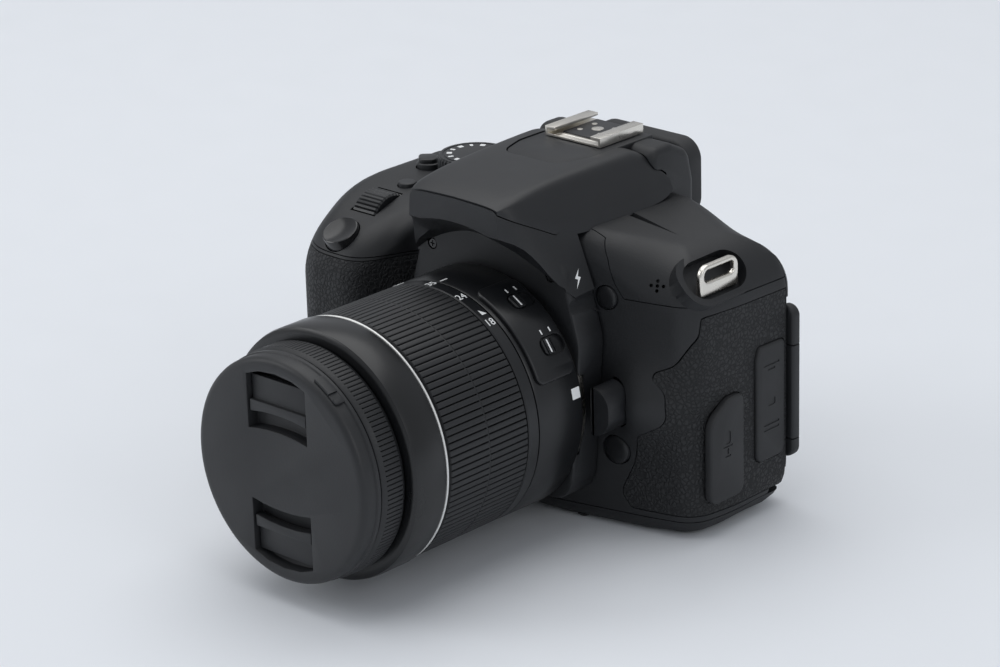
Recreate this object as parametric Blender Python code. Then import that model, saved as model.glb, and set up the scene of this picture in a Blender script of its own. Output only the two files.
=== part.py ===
"""Digital single-lens reflex camera with a standard zoom lens and a front cap.

Frame: +X towards the terminal side, -X towards the hand grip, -Y towards the subject,
+Y towards the user, +Z up. The origin is on the base, straight under the point where the
optical axis meets the film plane. Sizes below are in millimetres and become metres once,
when a shape turns into an object.
"""

import math

import bmesh
import bpy
import numpy as np
from mathutils import Matrix, Vector

MM = 0.001

# Clearances between neighbouring pieces
GAP = 0.3
SEAM = 0.15

# Points closer than this, in metres, are one point after a cut
MERGE = 0.000005

# Optical layout
AXIS_Z = 37.4
FLANGE_Y = -44.0
MOUNT_RADIUS = 32.6
THROAT_RADIUS = 27.0

# Body
WALL = 2.4
RUBBER = 1.3
REAR_Y = 12.0
SIDE_X = 58.0
GRIP_X = -71.5
GRIP_FRONT_Y = -55.0
TOP_SEAM_Z = 66.0
BASE_SEAM_Z = 5.0
REAR_SEAM_Y = 9.0
REAR_TOP_Z = 72.0
SHOULDER_Z = 82.5
GRIP_TOP_Z = 79.0
BASE_ROUND = 6.0

# Corners of the body in plan: x, y, corner radius
PLAN = [
    (GRIP_X, REAR_Y, 7.0),
    (GRIP_X - 0.5, -34.0, 40.0),
    (-66.0, GRIP_FRONT_Y, 13.0),
    (-41.0, GRIP_FRONT_Y, 8.5),
    (-32.5, -35.0, 7.0),
    (12.0, -36.3, 60.0),
    (34.0, -31.4, 60.0),
    (56.0, -26.5, 9.0),
    (SIDE_X, -12.0, 60.0),
    (SIDE_X + 1.0, REAR_Y, 4.0),
]
SPINE = (-51.0, 39.0, -14.0)

# Flash head: y, half width at top, top z, half width at skirt, skirt z
HEAD_STATIONS = [
    (-56.4, 14.2, 93.2, 15.2, 91.6),
    (-53.0, 15.4, 94.5, 18.4, 89.4),
    (-46.0, 15.8, 95.6, 20.6, 86.0),
    (-40.0, 16.0, 96.1, 22.0, 82.9),
    (-34.0, 16.2, 96.4, 22.8, 81.9),
    (-26.0, 16.5, 96.6, 23.5, 81.7),
    (-12.0, 17.0, 96.8, 24.0, 82.0),
    (-4.0, 17.4, 96.6, 24.2, 82.4),
    (0.8, 18.4, 93.2, 24.0, 83.0),
    (4.2, 20.4, 88.8, 23.6, 84.4),
]
# Front housing under the flash head: y, half width at top, top z, half width at foot, foot z
NECK_STATIONS = [
    (-57.0, 14.3, 92.8, 16.0, 85.2),
    (-51.0, 17.0, 91.5, 20.5, 82.0),
    (-44.5, 18.3, 90.0, 26.5, 70.0),
    (-34.0, 19.6, 88.0, 28.6, 64.0),
]
HEAD_PIVOT = (0.0, -1.5, 96.8)
PLINTH = [(-12.6, 9.0), (-12.6, -19.0), (-8.0, -27.2), (8.0, -27.2), (12.6, -19.0), (12.6, 9.0)]
PLINTH_Z = 96.6
SHOE_TOP_Z = 99.5

# Lens, measured along the optical axis from the flange towards the subject
LENS_BASE_RADIUS = 33.9
BARREL_END = 17.9
ZOOM_END = 52.0
BAND_END = 64.5
FOCUS_END = 73.0
CAP_END = 79.2
ZOOM_RADIUS = 33.7
BAND_RADIUS = 34.2
INNER_RADIUS = 29.6
FOCUS_RADIUS = 31.1
CAP_RADIUS = 30.6

# Screen on the back
SCREEN_LO = (-17.5, 5.3, 6.0)
SCREEN_HI = (55.0, 12.9, 60.0)
SCREEN_HINGE = (58.6, 11.25, 33.0)

BLACK = (0.020, 0.021, 0.023)
PALETTE = {
    "shell": (BLACK, 0.55, 0.0),
    "rubber": ((0.016, 0.017, 0.018), 0.80, 0.0),
    "gloss": ((0.010, 0.010, 0.011), 0.25, 0.0),
    "steel": ((0.72, 0.70, 0.66), 0.28, 1.0),
    "dark_metal": ((0.10, 0.10, 0.11), 0.45, 1.0),
    "glass": ((0.25, 0.30, 0.36), 0.05, 0.0),
    "mirror": ((0.90, 0.90, 0.92), 0.05, 1.0),
    "board": ((0.02, 0.14, 0.06), 0.50, 0.0),
    "button": ((0.028, 0.029, 0.031), 0.45, 0.0),
}


# ---------------------------------------------------------------- outlines

def rounded(corners, step=15.0):
    """Closed outline through corners (u, v, radius), each corner turned on an arc."""
    points = []
    count = len(corners)
    for index, (u, v, radius) in enumerate(corners):
        here = Vector((u, v))
        before = (Vector(corners[index - 1][:2]) - here).normalized()
        after = (Vector(corners[(index + 1) % count][:2]) - here).normalized()
        half = before.angle(after) / 2.0
        turn = math.pi - 2.0 * half
        centre = here + (before + after).normalized() * (radius / math.sin(half))
        start = here + before * (radius / math.tan(half)) - centre
        steps = max(1, math.ceil(math.degrees(turn) / step))
        side = 1.0 if before.cross(after) < 0.0 else -1.0
        for k in range(steps + 1):
            angle = side * turn * k / steps
            point = centre + Matrix.Rotation(angle, 2) @ start
            if not points or (point - Vector(points[-1])).length > 0.01:
                points.append(tuple(point))
    if (Vector(points[0]) - Vector(points[-1])).length < 0.01:
        points.pop()
    return points


def circle(u, v, radius, sides):
    turns = [2.0 * math.pi * k / sides for k in range(sides)]
    return [(u + radius * math.cos(t), v + radius * math.sin(t)) for t in turns]


def panel(u0, v0, u1, v1, radius):
    """Rectangle with round corners."""
    return rounded([(u0, v0, radius), (u1, v0, radius), (u1, v1, radius), (u0, v1, radius)], 30.0)


def offset(outline, distance):
    """Outline moved inwards by distance (outwards when negative)."""
    points = np.array(outline)
    before = points - np.roll(points, 1, axis=0)
    after = np.roll(points, -1, axis=0) - points
    area = np.sum(points[:, 0] * np.roll(points[:, 1], -1) - np.roll(points[:, 0], -1) * points[:, 1])
    sign = 1.0 if area > 0 else -1.0

    def normal(edge):
        length = np.linalg.norm(edge, axis=1, keepdims=True)
        return sign * np.stack([-edge[:, 1], edge[:, 0]], axis=1) / length

    first = normal(before)
    second = normal(after)
    middle = first + second
    middle /= np.linalg.norm(middle, axis=1, keepdims=True)
    stretch = distance / np.sum(middle * first, axis=1, keepdims=True)
    return points + middle * stretch


def edge_distance(points, outline):
    """Distance from each plan point to the outline."""
    start = outline
    span = np.roll(outline, -1, axis=0) - start
    rel = points[:, None, :] - start[None, :, :]
    along = np.clip(np.sum(rel * span, axis=2) / np.sum(span * span, axis=1), 0.0, 1.0)
    gap = rel - along[:, :, None] * span
    return np.sqrt(np.min(np.sum(gap * gap, axis=2), axis=1))


def smooth(t):
    t = np.clip(t, 0.0, 1.0)
    return t * t * (3.0 - 2.0 * t)


# ---------------------------------------------------------------- shapes

PLACE = {
    "x": lambda u, v, t: (t, u, v),
    "y": lambda u, v, t: (u, t, v),
    "z": lambda u, v, t: (u, v, t),
}


def cap_edges(bm, axis, level):
    index = "xyz".index(axis)
    near = [v for v in bm.verts if abs(v.co[index] - level) < 1e-4]
    chosen = set(near)
    return [e for e in bm.edges if e.verts[0] in chosen and e.verts[1] in chosen]


def prism(outline, axis, low, high, edge_low=0.0, edge_high=0.0):
    """Outline extruded along an axis, with its end edges optionally bevelled."""
    bm = bmesh.new()
    place = PLACE[axis]
    face = bm.faces.new([bm.verts.new(place(u, v, low)) for u, v in outline])
    result = bmesh.ops.extrude_face_region(bm, geom=[face])
    moved = [g for g in result["geom"] if isinstance(g, bmesh.types.BMVert)]
    bmesh.ops.translate(bm, verts=moved, vec=place(0.0, 0.0, high - low))
    for level, width in ((low, edge_low), (high, edge_high)):
        if width > 0.0:
            bmesh.ops.bevel(bm, geom=cap_edges(bm, axis, level), offset=width,
                            segments=2, profile=0.5, affect="EDGES")
    return bm


def block(low, high, edge=0.0):
    """Box between two corners, every edge optionally bevelled."""
    bm = bmesh.new()
    bmesh.ops.create_cube(bm, size=1.0)
    size = Vector(high) - Vector(low)
    bmesh.ops.scale(bm, verts=bm.verts, vec=size)
    bmesh.ops.translate(bm, verts=bm.verts, vec=(Vector(low) + Vector(high)) / 2.0)
    if edge > 0.0:
        bmesh.ops.bevel(bm, geom=bm.edges[:], offset=edge, segments=1, profile=0.5, affect="EDGES")
    return bm


def turned(profile, centre, direction, sides=24):
    """Profile of (radius, height) spun about direction; it closes on itself or on the axis."""
    bm = bmesh.new()
    verts = [bm.verts.new((max(radius, 0.0), 0.0, height)) for radius, height in profile]
    pairs = list(zip(verts, verts[1:]))
    if profile[0][0] > 0.0:
        pairs.append((verts[-1], verts[0]))
    edges = [bm.edges.new(pair) for pair in pairs]
    bmesh.ops.spin(bm, geom=verts + edges, cent=(0, 0, 0), axis=(0, 0, 1),
                   angle=2.0 * math.pi, steps=sides, use_merge=True)
    bmesh.ops.remove_doubles(bm, verts=bm.verts, dist=1e-4)
    turn = Vector((0, 0, 1)).rotation_difference(Vector(direction)).to_matrix().to_4x4()
    bmesh.ops.transform(bm, matrix=Matrix.Translation(centre) @ turn, verts=bm.verts)
    return bm


def ring(inner, outer, low, high, centre, direction, sides=24, edge=0.0):
    """Turned tube wall from low to high along direction."""
    profile = [(inner, low), (outer - edge, low), (outer, low + edge),
               (outer, high - edge), (outer - edge, high), (inner, high)]
    if edge == 0.0:
        profile = [(inner, low), (outer, low), (outer, high), (inner, high)]
    return turned(profile, centre, direction, sides)


def plug(radius, low, high, centre, direction, sides=20, edge=0.4):
    """Solid round piece with an eased upper rim."""
    profile = [(0.0, low), (radius, low), (radius, high - edge), (radius - edge, high), (0.0, high)]
    return turned(profile, centre, direction, sides)


def body_volume(inset, step=15.0, levels=7):
    """The whole body as one closed skin, inset evenly from the outer surface."""
    outline = offset(rounded(PLAN, step), inset)
    x, y = outline[:, 0], outline[:, 1]
    port = smooth((x - 40.0) / 12.0)
    base = np.maximum(BASE_ROUND + port * (2.0 + 5.0 * smooth((y + 17.0) / 28.0)) - inset, 1.0)
    target = np.column_stack([np.clip(x, SPINE[0], SPINE[1]), np.full(len(x), SPINE[2])])
    inward = (target - outline) / np.linalg.norm(target - outline, axis=1, keepdims=True)

    rings = []
    for angle in (0.0, 0.25 * math.pi, 0.5 * math.pi):
        shift = base * (1.0 - math.sin(angle))
        height = inset + base * (1.0 - math.cos(angle))
        rings.append(np.column_stack([outline + inward * shift[:, None], height]))

    for k in range(levels):
        fraction = 0.95 * (k / (levels - 1.0)) ** 1.7
        plan = outline + (target - outline) * fraction
        edge = edge_distance(plan, outline)
        rings.append(np.column_stack([plan, top_height(plan, edge, inset)]))

    bm = bmesh.new()
    loops = [[bm.verts.new(point) for point in level] for level in rings]
    for lower, upper in zip(loops, loops[1:]):
        for i in range(len(lower)):
            j = (i + 1) % len(lower)
            bm.faces.new((lower[i], lower[j], upper[j], upper[i]))
    bm.faces.new(loops[0])
    bm.faces.new(loops[-1])
    bmesh.ops.triangulate(bm, faces=bm.faces)
    return bm


def top_height(plan, edge, inset):
    """Height of the top skin: shoulder on one side, sloping grip on the other, rolled edges."""
    x, y = plan[:, 0], plan[:, 1]
    grip = GRIP_TOP_Z - 0.0089 * np.maximum(0.0, -18.0 - y) ** 2
    shoulder = SHOULDER_Z - 0.19 * np.maximum(0.0, x - 24.0)
    height = grip + (shoulder - grip) * smooth((x + 38.0) / 12.0)
    radius = np.maximum(7.0 + 7.0 * smooth((x - 25.0) / 22.0) - inset, 1.0)
    reach = np.clip(radius - edge, 0.0, None)
    return height - inset - (radius - np.sqrt(np.maximum(radius ** 2 - reach ** 2, 0.0)))


def loft(stations, grow=0.0):
    """Rounded trapezoid sections joined along Y, grown evenly by grow."""
    first, last = stations[0], stations[-1]
    bm = bmesh.new()
    loops = []
    for station in stations:
        y, top, roof, skirt, floor = station
        y += grow * ((station == last) - (station == first))
        top, skirt, roof, floor = top + grow, skirt + grow, roof + grow, floor - grow
        middle = ((top + skirt) / 2.0 + 0.8, (roof + floor) / 2.0)
        half = [(skirt, floor), middle, (top + 0.5, roof - 1.4), (top - 2.0, roof)]
        section = half + [(-u, v) for u, v in reversed(half)]
        loops.append([bm.verts.new((u, y, v)) for u, v in section])
    for one, two in zip(loops, loops[1:]):
        for i in range(len(one)):
            j = (i + 1) % len(one)
            bm.faces.new((one[i], one[j], two[j], two[i]))
    bm.faces.new(loops[0])
    bm.faces.new(loops[-1])
    bmesh.ops.triangulate(bm, faces=bm.faces)
    return bm


# ---------------------------------------------------------------- objects

def material(name):
    found = bpy.data.materials.get(name)
    if found:
        return found
    colour, roughness, metallic = PALETTE[name]
    made = bpy.data.materials.new(name)
    made.use_nodes = True
    shader = made.node_tree.nodes["Principled BSDF"]
    shader.inputs["Base Color"].default_value = (*colour, 1.0)
    shader.inputs["Roughness"].default_value = roughness
    shader.inputs["Metallic"].default_value = metallic
    return made


def piece(name, bm, slot="shell", origin=(0.0, 0.0, 0.0)):
    """Named object from a shape in millimetres, with its own origin in the body frame."""
    bmesh.ops.recalc_face_normals(bm, faces=bm.faces)
    bmesh.ops.translate(bm, verts=bm.verts, vec=-Vector(origin))
    bmesh.ops.scale(bm, verts=bm.verts, vec=(MM, MM, MM))
    mesh = bpy.data.meshes.new(name)
    bm.to_mesh(mesh)
    bm.free()
    mesh.materials.append(material(slot))
    made = bpy.data.objects.new(name, mesh)
    bpy.context.scene.collection.objects.link(made)
    made.location = Vector(origin) * MM
    return made


def combine(target, shape, operation="DIFFERENCE"):
    """Cut, keep or add a shape (or a finished object) with an exact Boolean, applied at once."""
    tool = shape if isinstance(shape, bpy.types.Object) else piece("tool", shape)
    cut = target.modifiers.new("cut", "BOOLEAN")
    cut.operation = operation
    cut.solver = "EXACT"
    cut.object = tool
    bpy.context.view_layer.update()
    evaluated = target.evaluated_get(bpy.context.evaluated_depsgraph_get())
    result = bpy.data.meshes.new_from_object(evaluated)
    target.modifiers.clear()
    old = target.data
    name = old.name
    clean = bmesh.new()
    clean.from_mesh(result)
    bmesh.ops.remove_doubles(clean, verts=clean.verts, dist=MERGE)
    bmesh.ops.dissolve_degenerate(clean, edges=clean.edges, dist=MERGE)
    clean.to_mesh(result)
    clean.free()
    target.data = result
    bpy.data.meshes.remove(old)
    result.name = name
    bpy.data.objects.remove(tool)
    return target


def shade(target, angle=35.0):
    target.data.shade_smooth()
    target.data.set_sharp_from_angle(angle=math.radians(angle))


# ---------------------------------------------------------------- body shells

def front_top_outline(grow):
    """What the front cover reaches above the side seam, seen from the front."""
    return [(-29.0 - grow, 50.0), (-29.0 - grow, 71.0), (-26.0 - grow, 84.0), (26.0 + grow, 84.0),
            (31.0 + grow, 76.0), (33.5 + grow, 69.5), (38.0 + grow, 63.0), (38.0 + grow, 50.0)]


def shell(name):
    skin = piece(name, body_volume(0.0), "shell")
    return combine(skin, body_volume(WALL, 25.0, 6))


def side_rubber_outline(grow):
    """Front view of the leather-grained panel on the terminal side."""
    g = grow
    return rounded([
        (47.0 - g, 63.0 + g, 1.0), (43.5 - g, 50.0, 3.0), (49.5 - g, 43.5, 5.0), (49.5 - g, 34.0, 5.0),
        (40.0 - g, 29.0, 3.0), (38.5 - g, 20.0, 6.0), (35.5 - g, 11.0, 2.0), (38.5, 7.0 - g, 2.0),
        (70.0, 7.0 - g, 0.5), (70.0, 63.0 + g, 0.5)], 30.0)


def head_clearance():
    """The room the closed flash head takes, leaving the plinth that it wraps round."""
    room = piece("head_room", loft(HEAD_STATIONS, GAP))
    column = [(u, 40.0 if v > 0 else v) for u, v in PLINTH]
    combine(room, prism(column, "z", 60.0, 120.0))
    return room


def make_shells():
    inside_front = block((-90, -70, BASE_SEAM_Z + SEAM), (90, REAR_SEAM_Y - SEAM, TOP_SEAM_Z - SEAM))

    front = shell("front_cover")
    region = piece("region", inside_front)
    combine(region, prism(front_top_outline(0.0), "y", -70.0, -29.0), "UNION")
    combine(front, region, "INTERSECT")
    shroud = rounded([(-27, 9, 8), (27, 9, 8), (31, 55, 14), (24, 79.5, 8), (-24, 79.5, 8), (-31, 55, 14)])
    combine(front, prism(shroud, "y", FLANGE_Y + 0.8, -33.0, edge_low=1.2), "UNION")
    neck = piece("neck", loft(NECK_STATIONS))
    arch = [(0, -70), (48.5, -70), (48.5, -57), (42.5, FLANGE_Y + 0.8), (0, FLANGE_Y + 0.8)]
    combine(neck, turned(arch, (0, 0, AXIS_Z), (0, 1, 0), 48))
    combine(front, neck, "UNION")
    bulge = rounded([(20, 27, 3), (47, 30, 6), (50, 39, 5), (46, 47, 6), (20, 49, 3)], 30.0)
    combine(front, prism(bulge, "y", -37.5, -28.5, edge_low=2.0), "UNION")
    combine(front, head_clearance())
    combine(front, turned([(0, -60), (THROAT_RADIUS + 3.0, -60), (THROAT_RADIUS + 3.0, -25), (0, -25)],
                          (0, 0, AXIS_Z), (0, 1, 0), 48))
    combine(front, turned([(0, -60), (MOUNT_RADIUS + GAP, -60), (MOUNT_RADIUS + GAP, FLANGE_Y + 3.2),
                           (0, FLANGE_Y + 3.2)], (0, 0, AXIS_Z), (0, 1, 0), 48))

    top = shell("top_cover")
    combine(top, block((-90, -90, -5), (90, 60, TOP_SEAM_Z + SEAM)))
    combine(top, block((-90, REAR_SEAM_Y - SEAM, 0), (90, 60, REAR_TOP_Z + SEAM)))
    combine(top, prism(front_top_outline(GAP), "y", -70.0, -29.0 + GAP))
    combine(top, prism(PLINTH, "z", 74.0, PLINTH_Z), "UNION")
    low = REAR_TOP_Z + SEAM
    housing = rounded([(-1.5, low, 3), (-1.5, 96.2, 3), (7, 96.2, 5), (14.5, 92.5, 5), (16.4, 84, 3),
                       (16.4, low, 3)], 30.0)
    combine(top, prism(housing, "x", -21.0, 21.0, 1.5, 1.5), "UNION")
    combine(top, head_clearance())
    combine(top, loft(NECK_STATIONS, GAP))
    combine(top, block((-10.4, -25.0, 60), (10.4, 4.0, 90.5)))
    combine(top, block((-19.0, -2.0, 60), (19.0, 14.6, 79.4)))
    combine(top, block((-11.0, 3.0, 75.5), (11.0, 20.0, 89.0)))

    base = shell("bottom_cover")
    combine(base, block((-90, -90, -5), (90, 60, BASE_SEAM_Z - SEAM)), "INTERSECT")

    rear = shell("rear_cover")
    combine(rear, block((-90, REAR_SEAM_Y + SEAM, BASE_SEAM_Z + SEAM), (90, 60, REAR_TOP_Z - SEAM)),
            "INTERSECT")
    x0, y0, z0 = SCREEN_LO
    x1, y1, z1 = SCREEN_HI
    pan_low, pan_high = Vector((x0 - 2.0, y0 - 1.9, z0 - 0.7)), Vector((x1 - 1.0, REAR_SEAM_Y + 0.6, z1 + 2.0))
    grow = Vector((GAP, GAP, GAP))
    combine(rear, block(pan_low, pan_high), "UNION")
    combine(rear, block((x0 - GAP, y0 - GAP, z0 - GAP), (x1 + GAP, 40.0, z1 + GAP)))
    combine(rear, block((x1 - 1.0, REAR_SEAM_Y - 3.0, z0 - GAP), (80.0, 40.0, z1 + GAP)))
    combine(front, block(pan_low - grow, pan_high + grow + Vector((1.6, 0.0, 0.0))))
    combine(front, block((40.0, y0 - 2.5, 0.0), (80.0, 20.0, z0 + 5.5)))
    combine(front, block((-60.0, 8.0, 0.0), (50.0, 20.0, 7.5)))
    return front, top, base, rear


def make_rubbers(front):
    """Grip and terminal-side skins, let into pockets in the front cover."""
    grip_region = [(-80, 8.5), (-33.0, 8.5), (-31.5, 65.0), (-80, 65.0)]
    grip = piece("grip_rubber", body_volume(0.0), "rubber")
    combine(grip, body_volume(RUBBER, 20.0))
    combine(grip, prism(grip_region, "y", -70.0, -20.0), "INTERSECT")
    pocket = piece("pocket", body_volume(-2.0))
    combine(pocket, body_volume(RUBBER + GAP, 20.0))
    grown = [(-80, 8.2), (-32.7, 8.2), (-31.2, 65.3), (-80, 65.3)]
    combine(pocket, prism(grown, "y", -70.0, -19.7), "INTERSECT")
    combine(front, pocket)

    side = piece("side_rubber", body_volume(0.0), "rubber")
    combine(side, body_volume(RUBBER, 20.0))
    combine(side, prism(side_rubber_outline(0.0), "y", -70.0, 8.4), "INTERSECT")
    pocket = piece("pocket", body_volume(-2.0))
    combine(pocket, body_volume(RUBBER + GAP, 20.0))
    combine(pocket, prism(side_rubber_outline(GAP), "y", -70.0, 8.7), "INTERSECT")
    combine(front, pocket)
    return grip, side


# ---------------------------------------------------------------- controls

def button(name, cover, centre, direction, radius, proud=1.0, deep=3.4, slot="button"):
    """Round push button in a clear hole through the cover it sits in."""
    combine(cover, plug(radius + GAP, -deep - 4.0, 12.0, centre, direction, 20))
    made = piece(name, plug(radius, -deep, proud, centre, direction, 20), slot, centre)
    shade(made)
    return made


def wheel(name, cover, centre, direction, radius, half, slot="button", sides=28):
    """Knurled wheel, half sunk in a pocket that clears it all round."""
    combine(cover, plug(radius + GAP, -half - GAP, half + GAP, centre, direction, sides, 0.05))
    made = piece(name, plug(radius, -half, half, centre, direction, sides, 0.5), slot, centre)
    shade(made)
    return made


def make_top_controls(front, top):
    slope = (0.0, -math.sin(math.radians(28.0)), math.cos(math.radians(28.0)))
    shutter = (-50.3, -48.8, 70.3)
    button("shutter_button", top, shutter, slope, 5.2, 1.6, 2.2)
    combine(front, plug(5.2 + GAP, -6.2, 12.0, shutter, slope, 20))
    button("iso_button", top, (-48.5, -24.5, 78.6), (0, 0, 1), 2.6, 0.9, 2.2)
    button("display_button", top, (-33.5, -28.0, 78.8), (0, 0, 1), 2.6, 0.9)
    wheel("main_dial", top, (-50.0, -33.6, 70.6), (1, 0, 0), 8.0, 4.4)

    mode_centre = (-38.0, -8.0, 0.0)
    combine(top, plug(12.4, 77.5, 79.4, mode_centre, (0, 0, 1), 36, 0.3), "UNION")
    combine(top, plug(10.9, 77.0, 95.0, mode_centre, (0, 0, 1), 36, 0.1))
    shade(piece("mode_dial", plug(10.5, 77.4, 85.6, mode_centre, (0, 0, 1), 36, 0.8), "button",
                mode_centre))

    switch = rounded([(-58.5, -9.5, 1.4), (-54.5, -14.0, 2.0), (-50.5, -10.0, 2.0), (-54.5, -6.0, 2.0)], 45)
    pivot = (-53.8, -10.0, 79.0)
    combine(top, plug(4.0, -2.2, 8.0, pivot, (0, 0, 1), 20, 0.1))
    lever = piece("power_switch", plug(3.6, -1.8, 1.6, pivot, (0, 0, 1), 20, 0.4), "button", pivot)
    combine(lever, prism(switch, "z", 79.9, 81.8), "UNION")


def make_shoe_and_lugs(top):
    """Accessory shoe on the plinth, and the two strap bars on the shoulders."""
    rails = [(-9.9, PLINTH_Z + GAP), (9.9, PLINTH_Z + GAP), (9.9, SHOE_TOP_Z), (6.4, SHOE_TOP_Z),
             (6.4, SHOE_TOP_Z - 0.8), (9.1, SHOE_TOP_Z - 0.8), (9.1, PLINTH_Z + 0.9),
             (-9.1, PLINTH_Z + 0.9), (-9.1, SHOE_TOP_Z - 0.8), (-6.4, SHOE_TOP_Z - 0.8),
             (-6.4, SHOE_TOP_Z), (-9.9, SHOE_TOP_Z)]
    piece("hot_shoe", prism(rails, "y", -9.7, 8.0), "steel")

    for name, x, y0, y1, side in (("strap_lug_terminal_side", 54.0, -22.0, -6.5, 1.0),
                                  ("strap_lug_grip_side", -64.5, -17.0, -1.5, -1.0)):
        foot = 69.6
        outer = rounded([(y0, foot, 0.4), (y0, foot + 6.6, 3.0), (y1, foot + 6.6, 3.0), (y1, foot, 0.4)], 30.0)
        eye = panel(y0 + 2.0, foot + 2.2, y1 - 2.0, foot + 5.2, 1.4)
        bar = piece(name, prism(outer, "x", x - 0.9, x + 0.9), "steel")
        combine(bar, prism(eye, "x", x - 5.0, x + 5.0))
        well = rounded([(y0 - 3.0, foot - GAP, 2.0), (y0 - 3.0, 90.0, 2.0), (y1 + 3.0, 90.0, 2.0),
                        (y1 + 3.0, foot - GAP, 2.0)], 30.0)
        span = sorted((x - 4.0 * side, x + 14.0 * side))
        combine(top, prism(well, "x", span[0], span[1]))


def make_flash(top):
    head = piece("flash_head", loft(HEAD_STATIONS), "gloss", HEAD_PIVOT)
    combine(head, block((-14.2, -53.5, 70.0), (14.2, -30.0, 92.0)))
    slot = [(u, 40.0 if v > 0 else v) for u, v in PLINTH]
    combine(head, prism(offset(slot, -GAP), "z", 60.0, 120.0))
    for side in (-1.0, 1.0):
        low, high = sorted((side * 13.8, side * 18.2))
        combine(head, block((low, -26.0, 70.0), (high, -8.0, 90.0)))
    shade(head)
    piece("flash_window", block((-13.8, -52.4, 89.2), (13.8, -51.2, 91.8)), "glass")


# ---------------------------------------------------------------- front controls and mount

def make_front_controls(front):
    forward = (0.0, -1.0, 0.0)
    button("flash_button", front, (31.0, -37.5, 65.6), forward, 3.2, 0.6, 1.6)
    button("depth_preview_button", front, (33.5, -35.4, 23.0), forward, 4.0, 1.2, 1.6)
    face = rounded([(34.5, 30.5, 1.5), (39.5, 31.5, 3.0), (39.5, 43.0, 3.0), (34.5, 44.0, 1.5)], 30.0)
    combine(front, prism(offset(face, -GAP), "y", -60.0, -31.0))
    piece("lens_release_button", prism(face, "y", -42.0, -33.6, edge_low=0.8), "button")
    mount = ring(THROAT_RADIUS, MOUNT_RADIUS, -2.8, 0.0, (0, FLANGE_Y, AXIS_Z), forward, 48)
    shade(piece("lens_mount_ring", mount, "steel"))


# ---------------------------------------------------------------- side covers and doors

def make_side_covers(front, side):
    for name, y0, y1, z0, z1 in (("microphone_port_cover", -23.4, -9.6, 10.4, 39.2),
                                 ("video_port_cover", -4.2, 7.6, 16.4, 49.4)):
        outline = panel(y0, z0, y1, z1, 2.6)
        pocket = offset(outline, -GAP)
        for cover in (front, side):
            combine(cover, prism(pocket, "x", 56.4, 70.0))
        piece(name, prism(outline, "x", 56.8, 59.3, edge_high=0.6), "rubber", (58.6, y0, z0))


def make_doors(front, base):
    battery = panel(-66.0, -44.0, -44.0, -6.0, 3.0)
    combine(base, prism(offset(battery, -GAP), "z", -1.0, 10.0))
    piece("battery_door", prism(battery, "z", 0.0, 1.8), "shell", (-44.0, -25.0, 0.0))
    card = panel(-14.0, 22.0, 6.0, 60.0, 2.0)
    combine(front, prism(offset(card, -GAP), "x", -80.0, -60.0))
    door = piece("card_door", body_volume(0.0), "shell", (-71.6, 6.0, 41.0))
    combine(door, body_volume(1.6, 20.0))
    combine(door, prism(card, "x", -80.0, -64.0), "INTERSECT")
    socket = ring(3.2, 7.0, 0.0, 5.4, (0.0, -14.0, 0.0), (0, 0, 1), 24)
    combine(base, plug(7.0 + GAP, -1.0, 12.0, (0.0, -14.0, 0.0), (0, 0, 1), 24))
    shade(piece("tripod_socket", socket, "steel"))


# ---------------------------------------------------------------- back

REAR_BUTTONS = [
    ("menu_button", 44.0, 66.5, 2.4), ("info_button", 34.5, 66.5, 2.4),
    ("live_view_button", -27.0, 66.5, 3.0), ("exposure_lock_button", -50.0, 66.2, 2.4),
    ("focus_point_button", -61.0, 66.2, 2.4), ("aperture_button", -31.0, 51.0, 2.6),
    ("quick_menu_button", -46.0, 52.0, 2.6), ("playback_button", -33.0, 16.5, 2.6),
    ("delete_button", -46.0, 14.0, 2.6),
]
PAD = (-42.0, 33.5)


def make_back(rear, top):
    backward = (0.0, 1.0, 0.0)
    for name, x, z, radius in REAR_BUTTONS:
        button(name, rear, (x, REAR_Y, z), backward, radius, 0.8, 3.0)
        if z + radius > TOP_SEAM_Z:
            combine(top, plug(radius + GAP, -4.2, 6.0, (x, REAR_Y, z), backward, 20))

    u, w = PAD
    combine(rear, plug(8.8, -10.0, 6.0, (u, REAR_Y, w), backward, 32))
    keys = ring(4.4, 8.5, -3.0, 0.9, (u, REAR_Y, w), backward, 32, 0.4)
    shade(piece("cross_keys", keys, "button"))
    shade(piece("set_button", plug(4.0, -3.0, 0.9, (u, REAR_Y, w), backward, 24), "button",
                (u, REAR_Y, w)))

    x0, y0, z0 = SCREEN_LO
    x1, y1, z1 = SCREEN_HI
    frame = rounded([(x0, z0, 3), (x1, z0, 3), (x1, z1, 3), (x0, z1, 3)], 30.0)
    piece("screen_panel", prism(frame, "y", y0, y1, 0.8, 0.8), "shell", SCREEN_HINGE)
    arm = rounded([(x1 + GAP, 14.0, 2), (60.5, 14.0, 3), (60.5, 57.5, 3), (x1 + GAP, 57.5, 2)], 30.0)
    piece("screen_hinge", prism(arm, "y", REAR_SEAM_Y + 0.5, y1 - 0.1, 1.2, 0.8), "shell", SCREEN_HINGE)

    shape = panel(-18.0, 70.4, 18.0, 93.0, 6.0)
    cup = piece("eyecup", prism(shape, "y", 16.8, 23.4, 0.0, 1.4), "rubber")
    combine(cup, prism(panel(-10.0, 76.0, 10.0, 88.6, 3.0), "y", 10.0, 30.0))
    combine(cup, prism(panel(-13.0, 73.8, 13.0, 90.4, 4.0), "y", 19.4, 30.0))

    knob = (-22.2, 10.0, 85.5)
    shade(piece("dioptre_dial", plug(4.2, -0.9, 1.6, knob, (-1, 0, 0), 20), "button", knob))


# ---------------------------------------------------------------- inside

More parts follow.
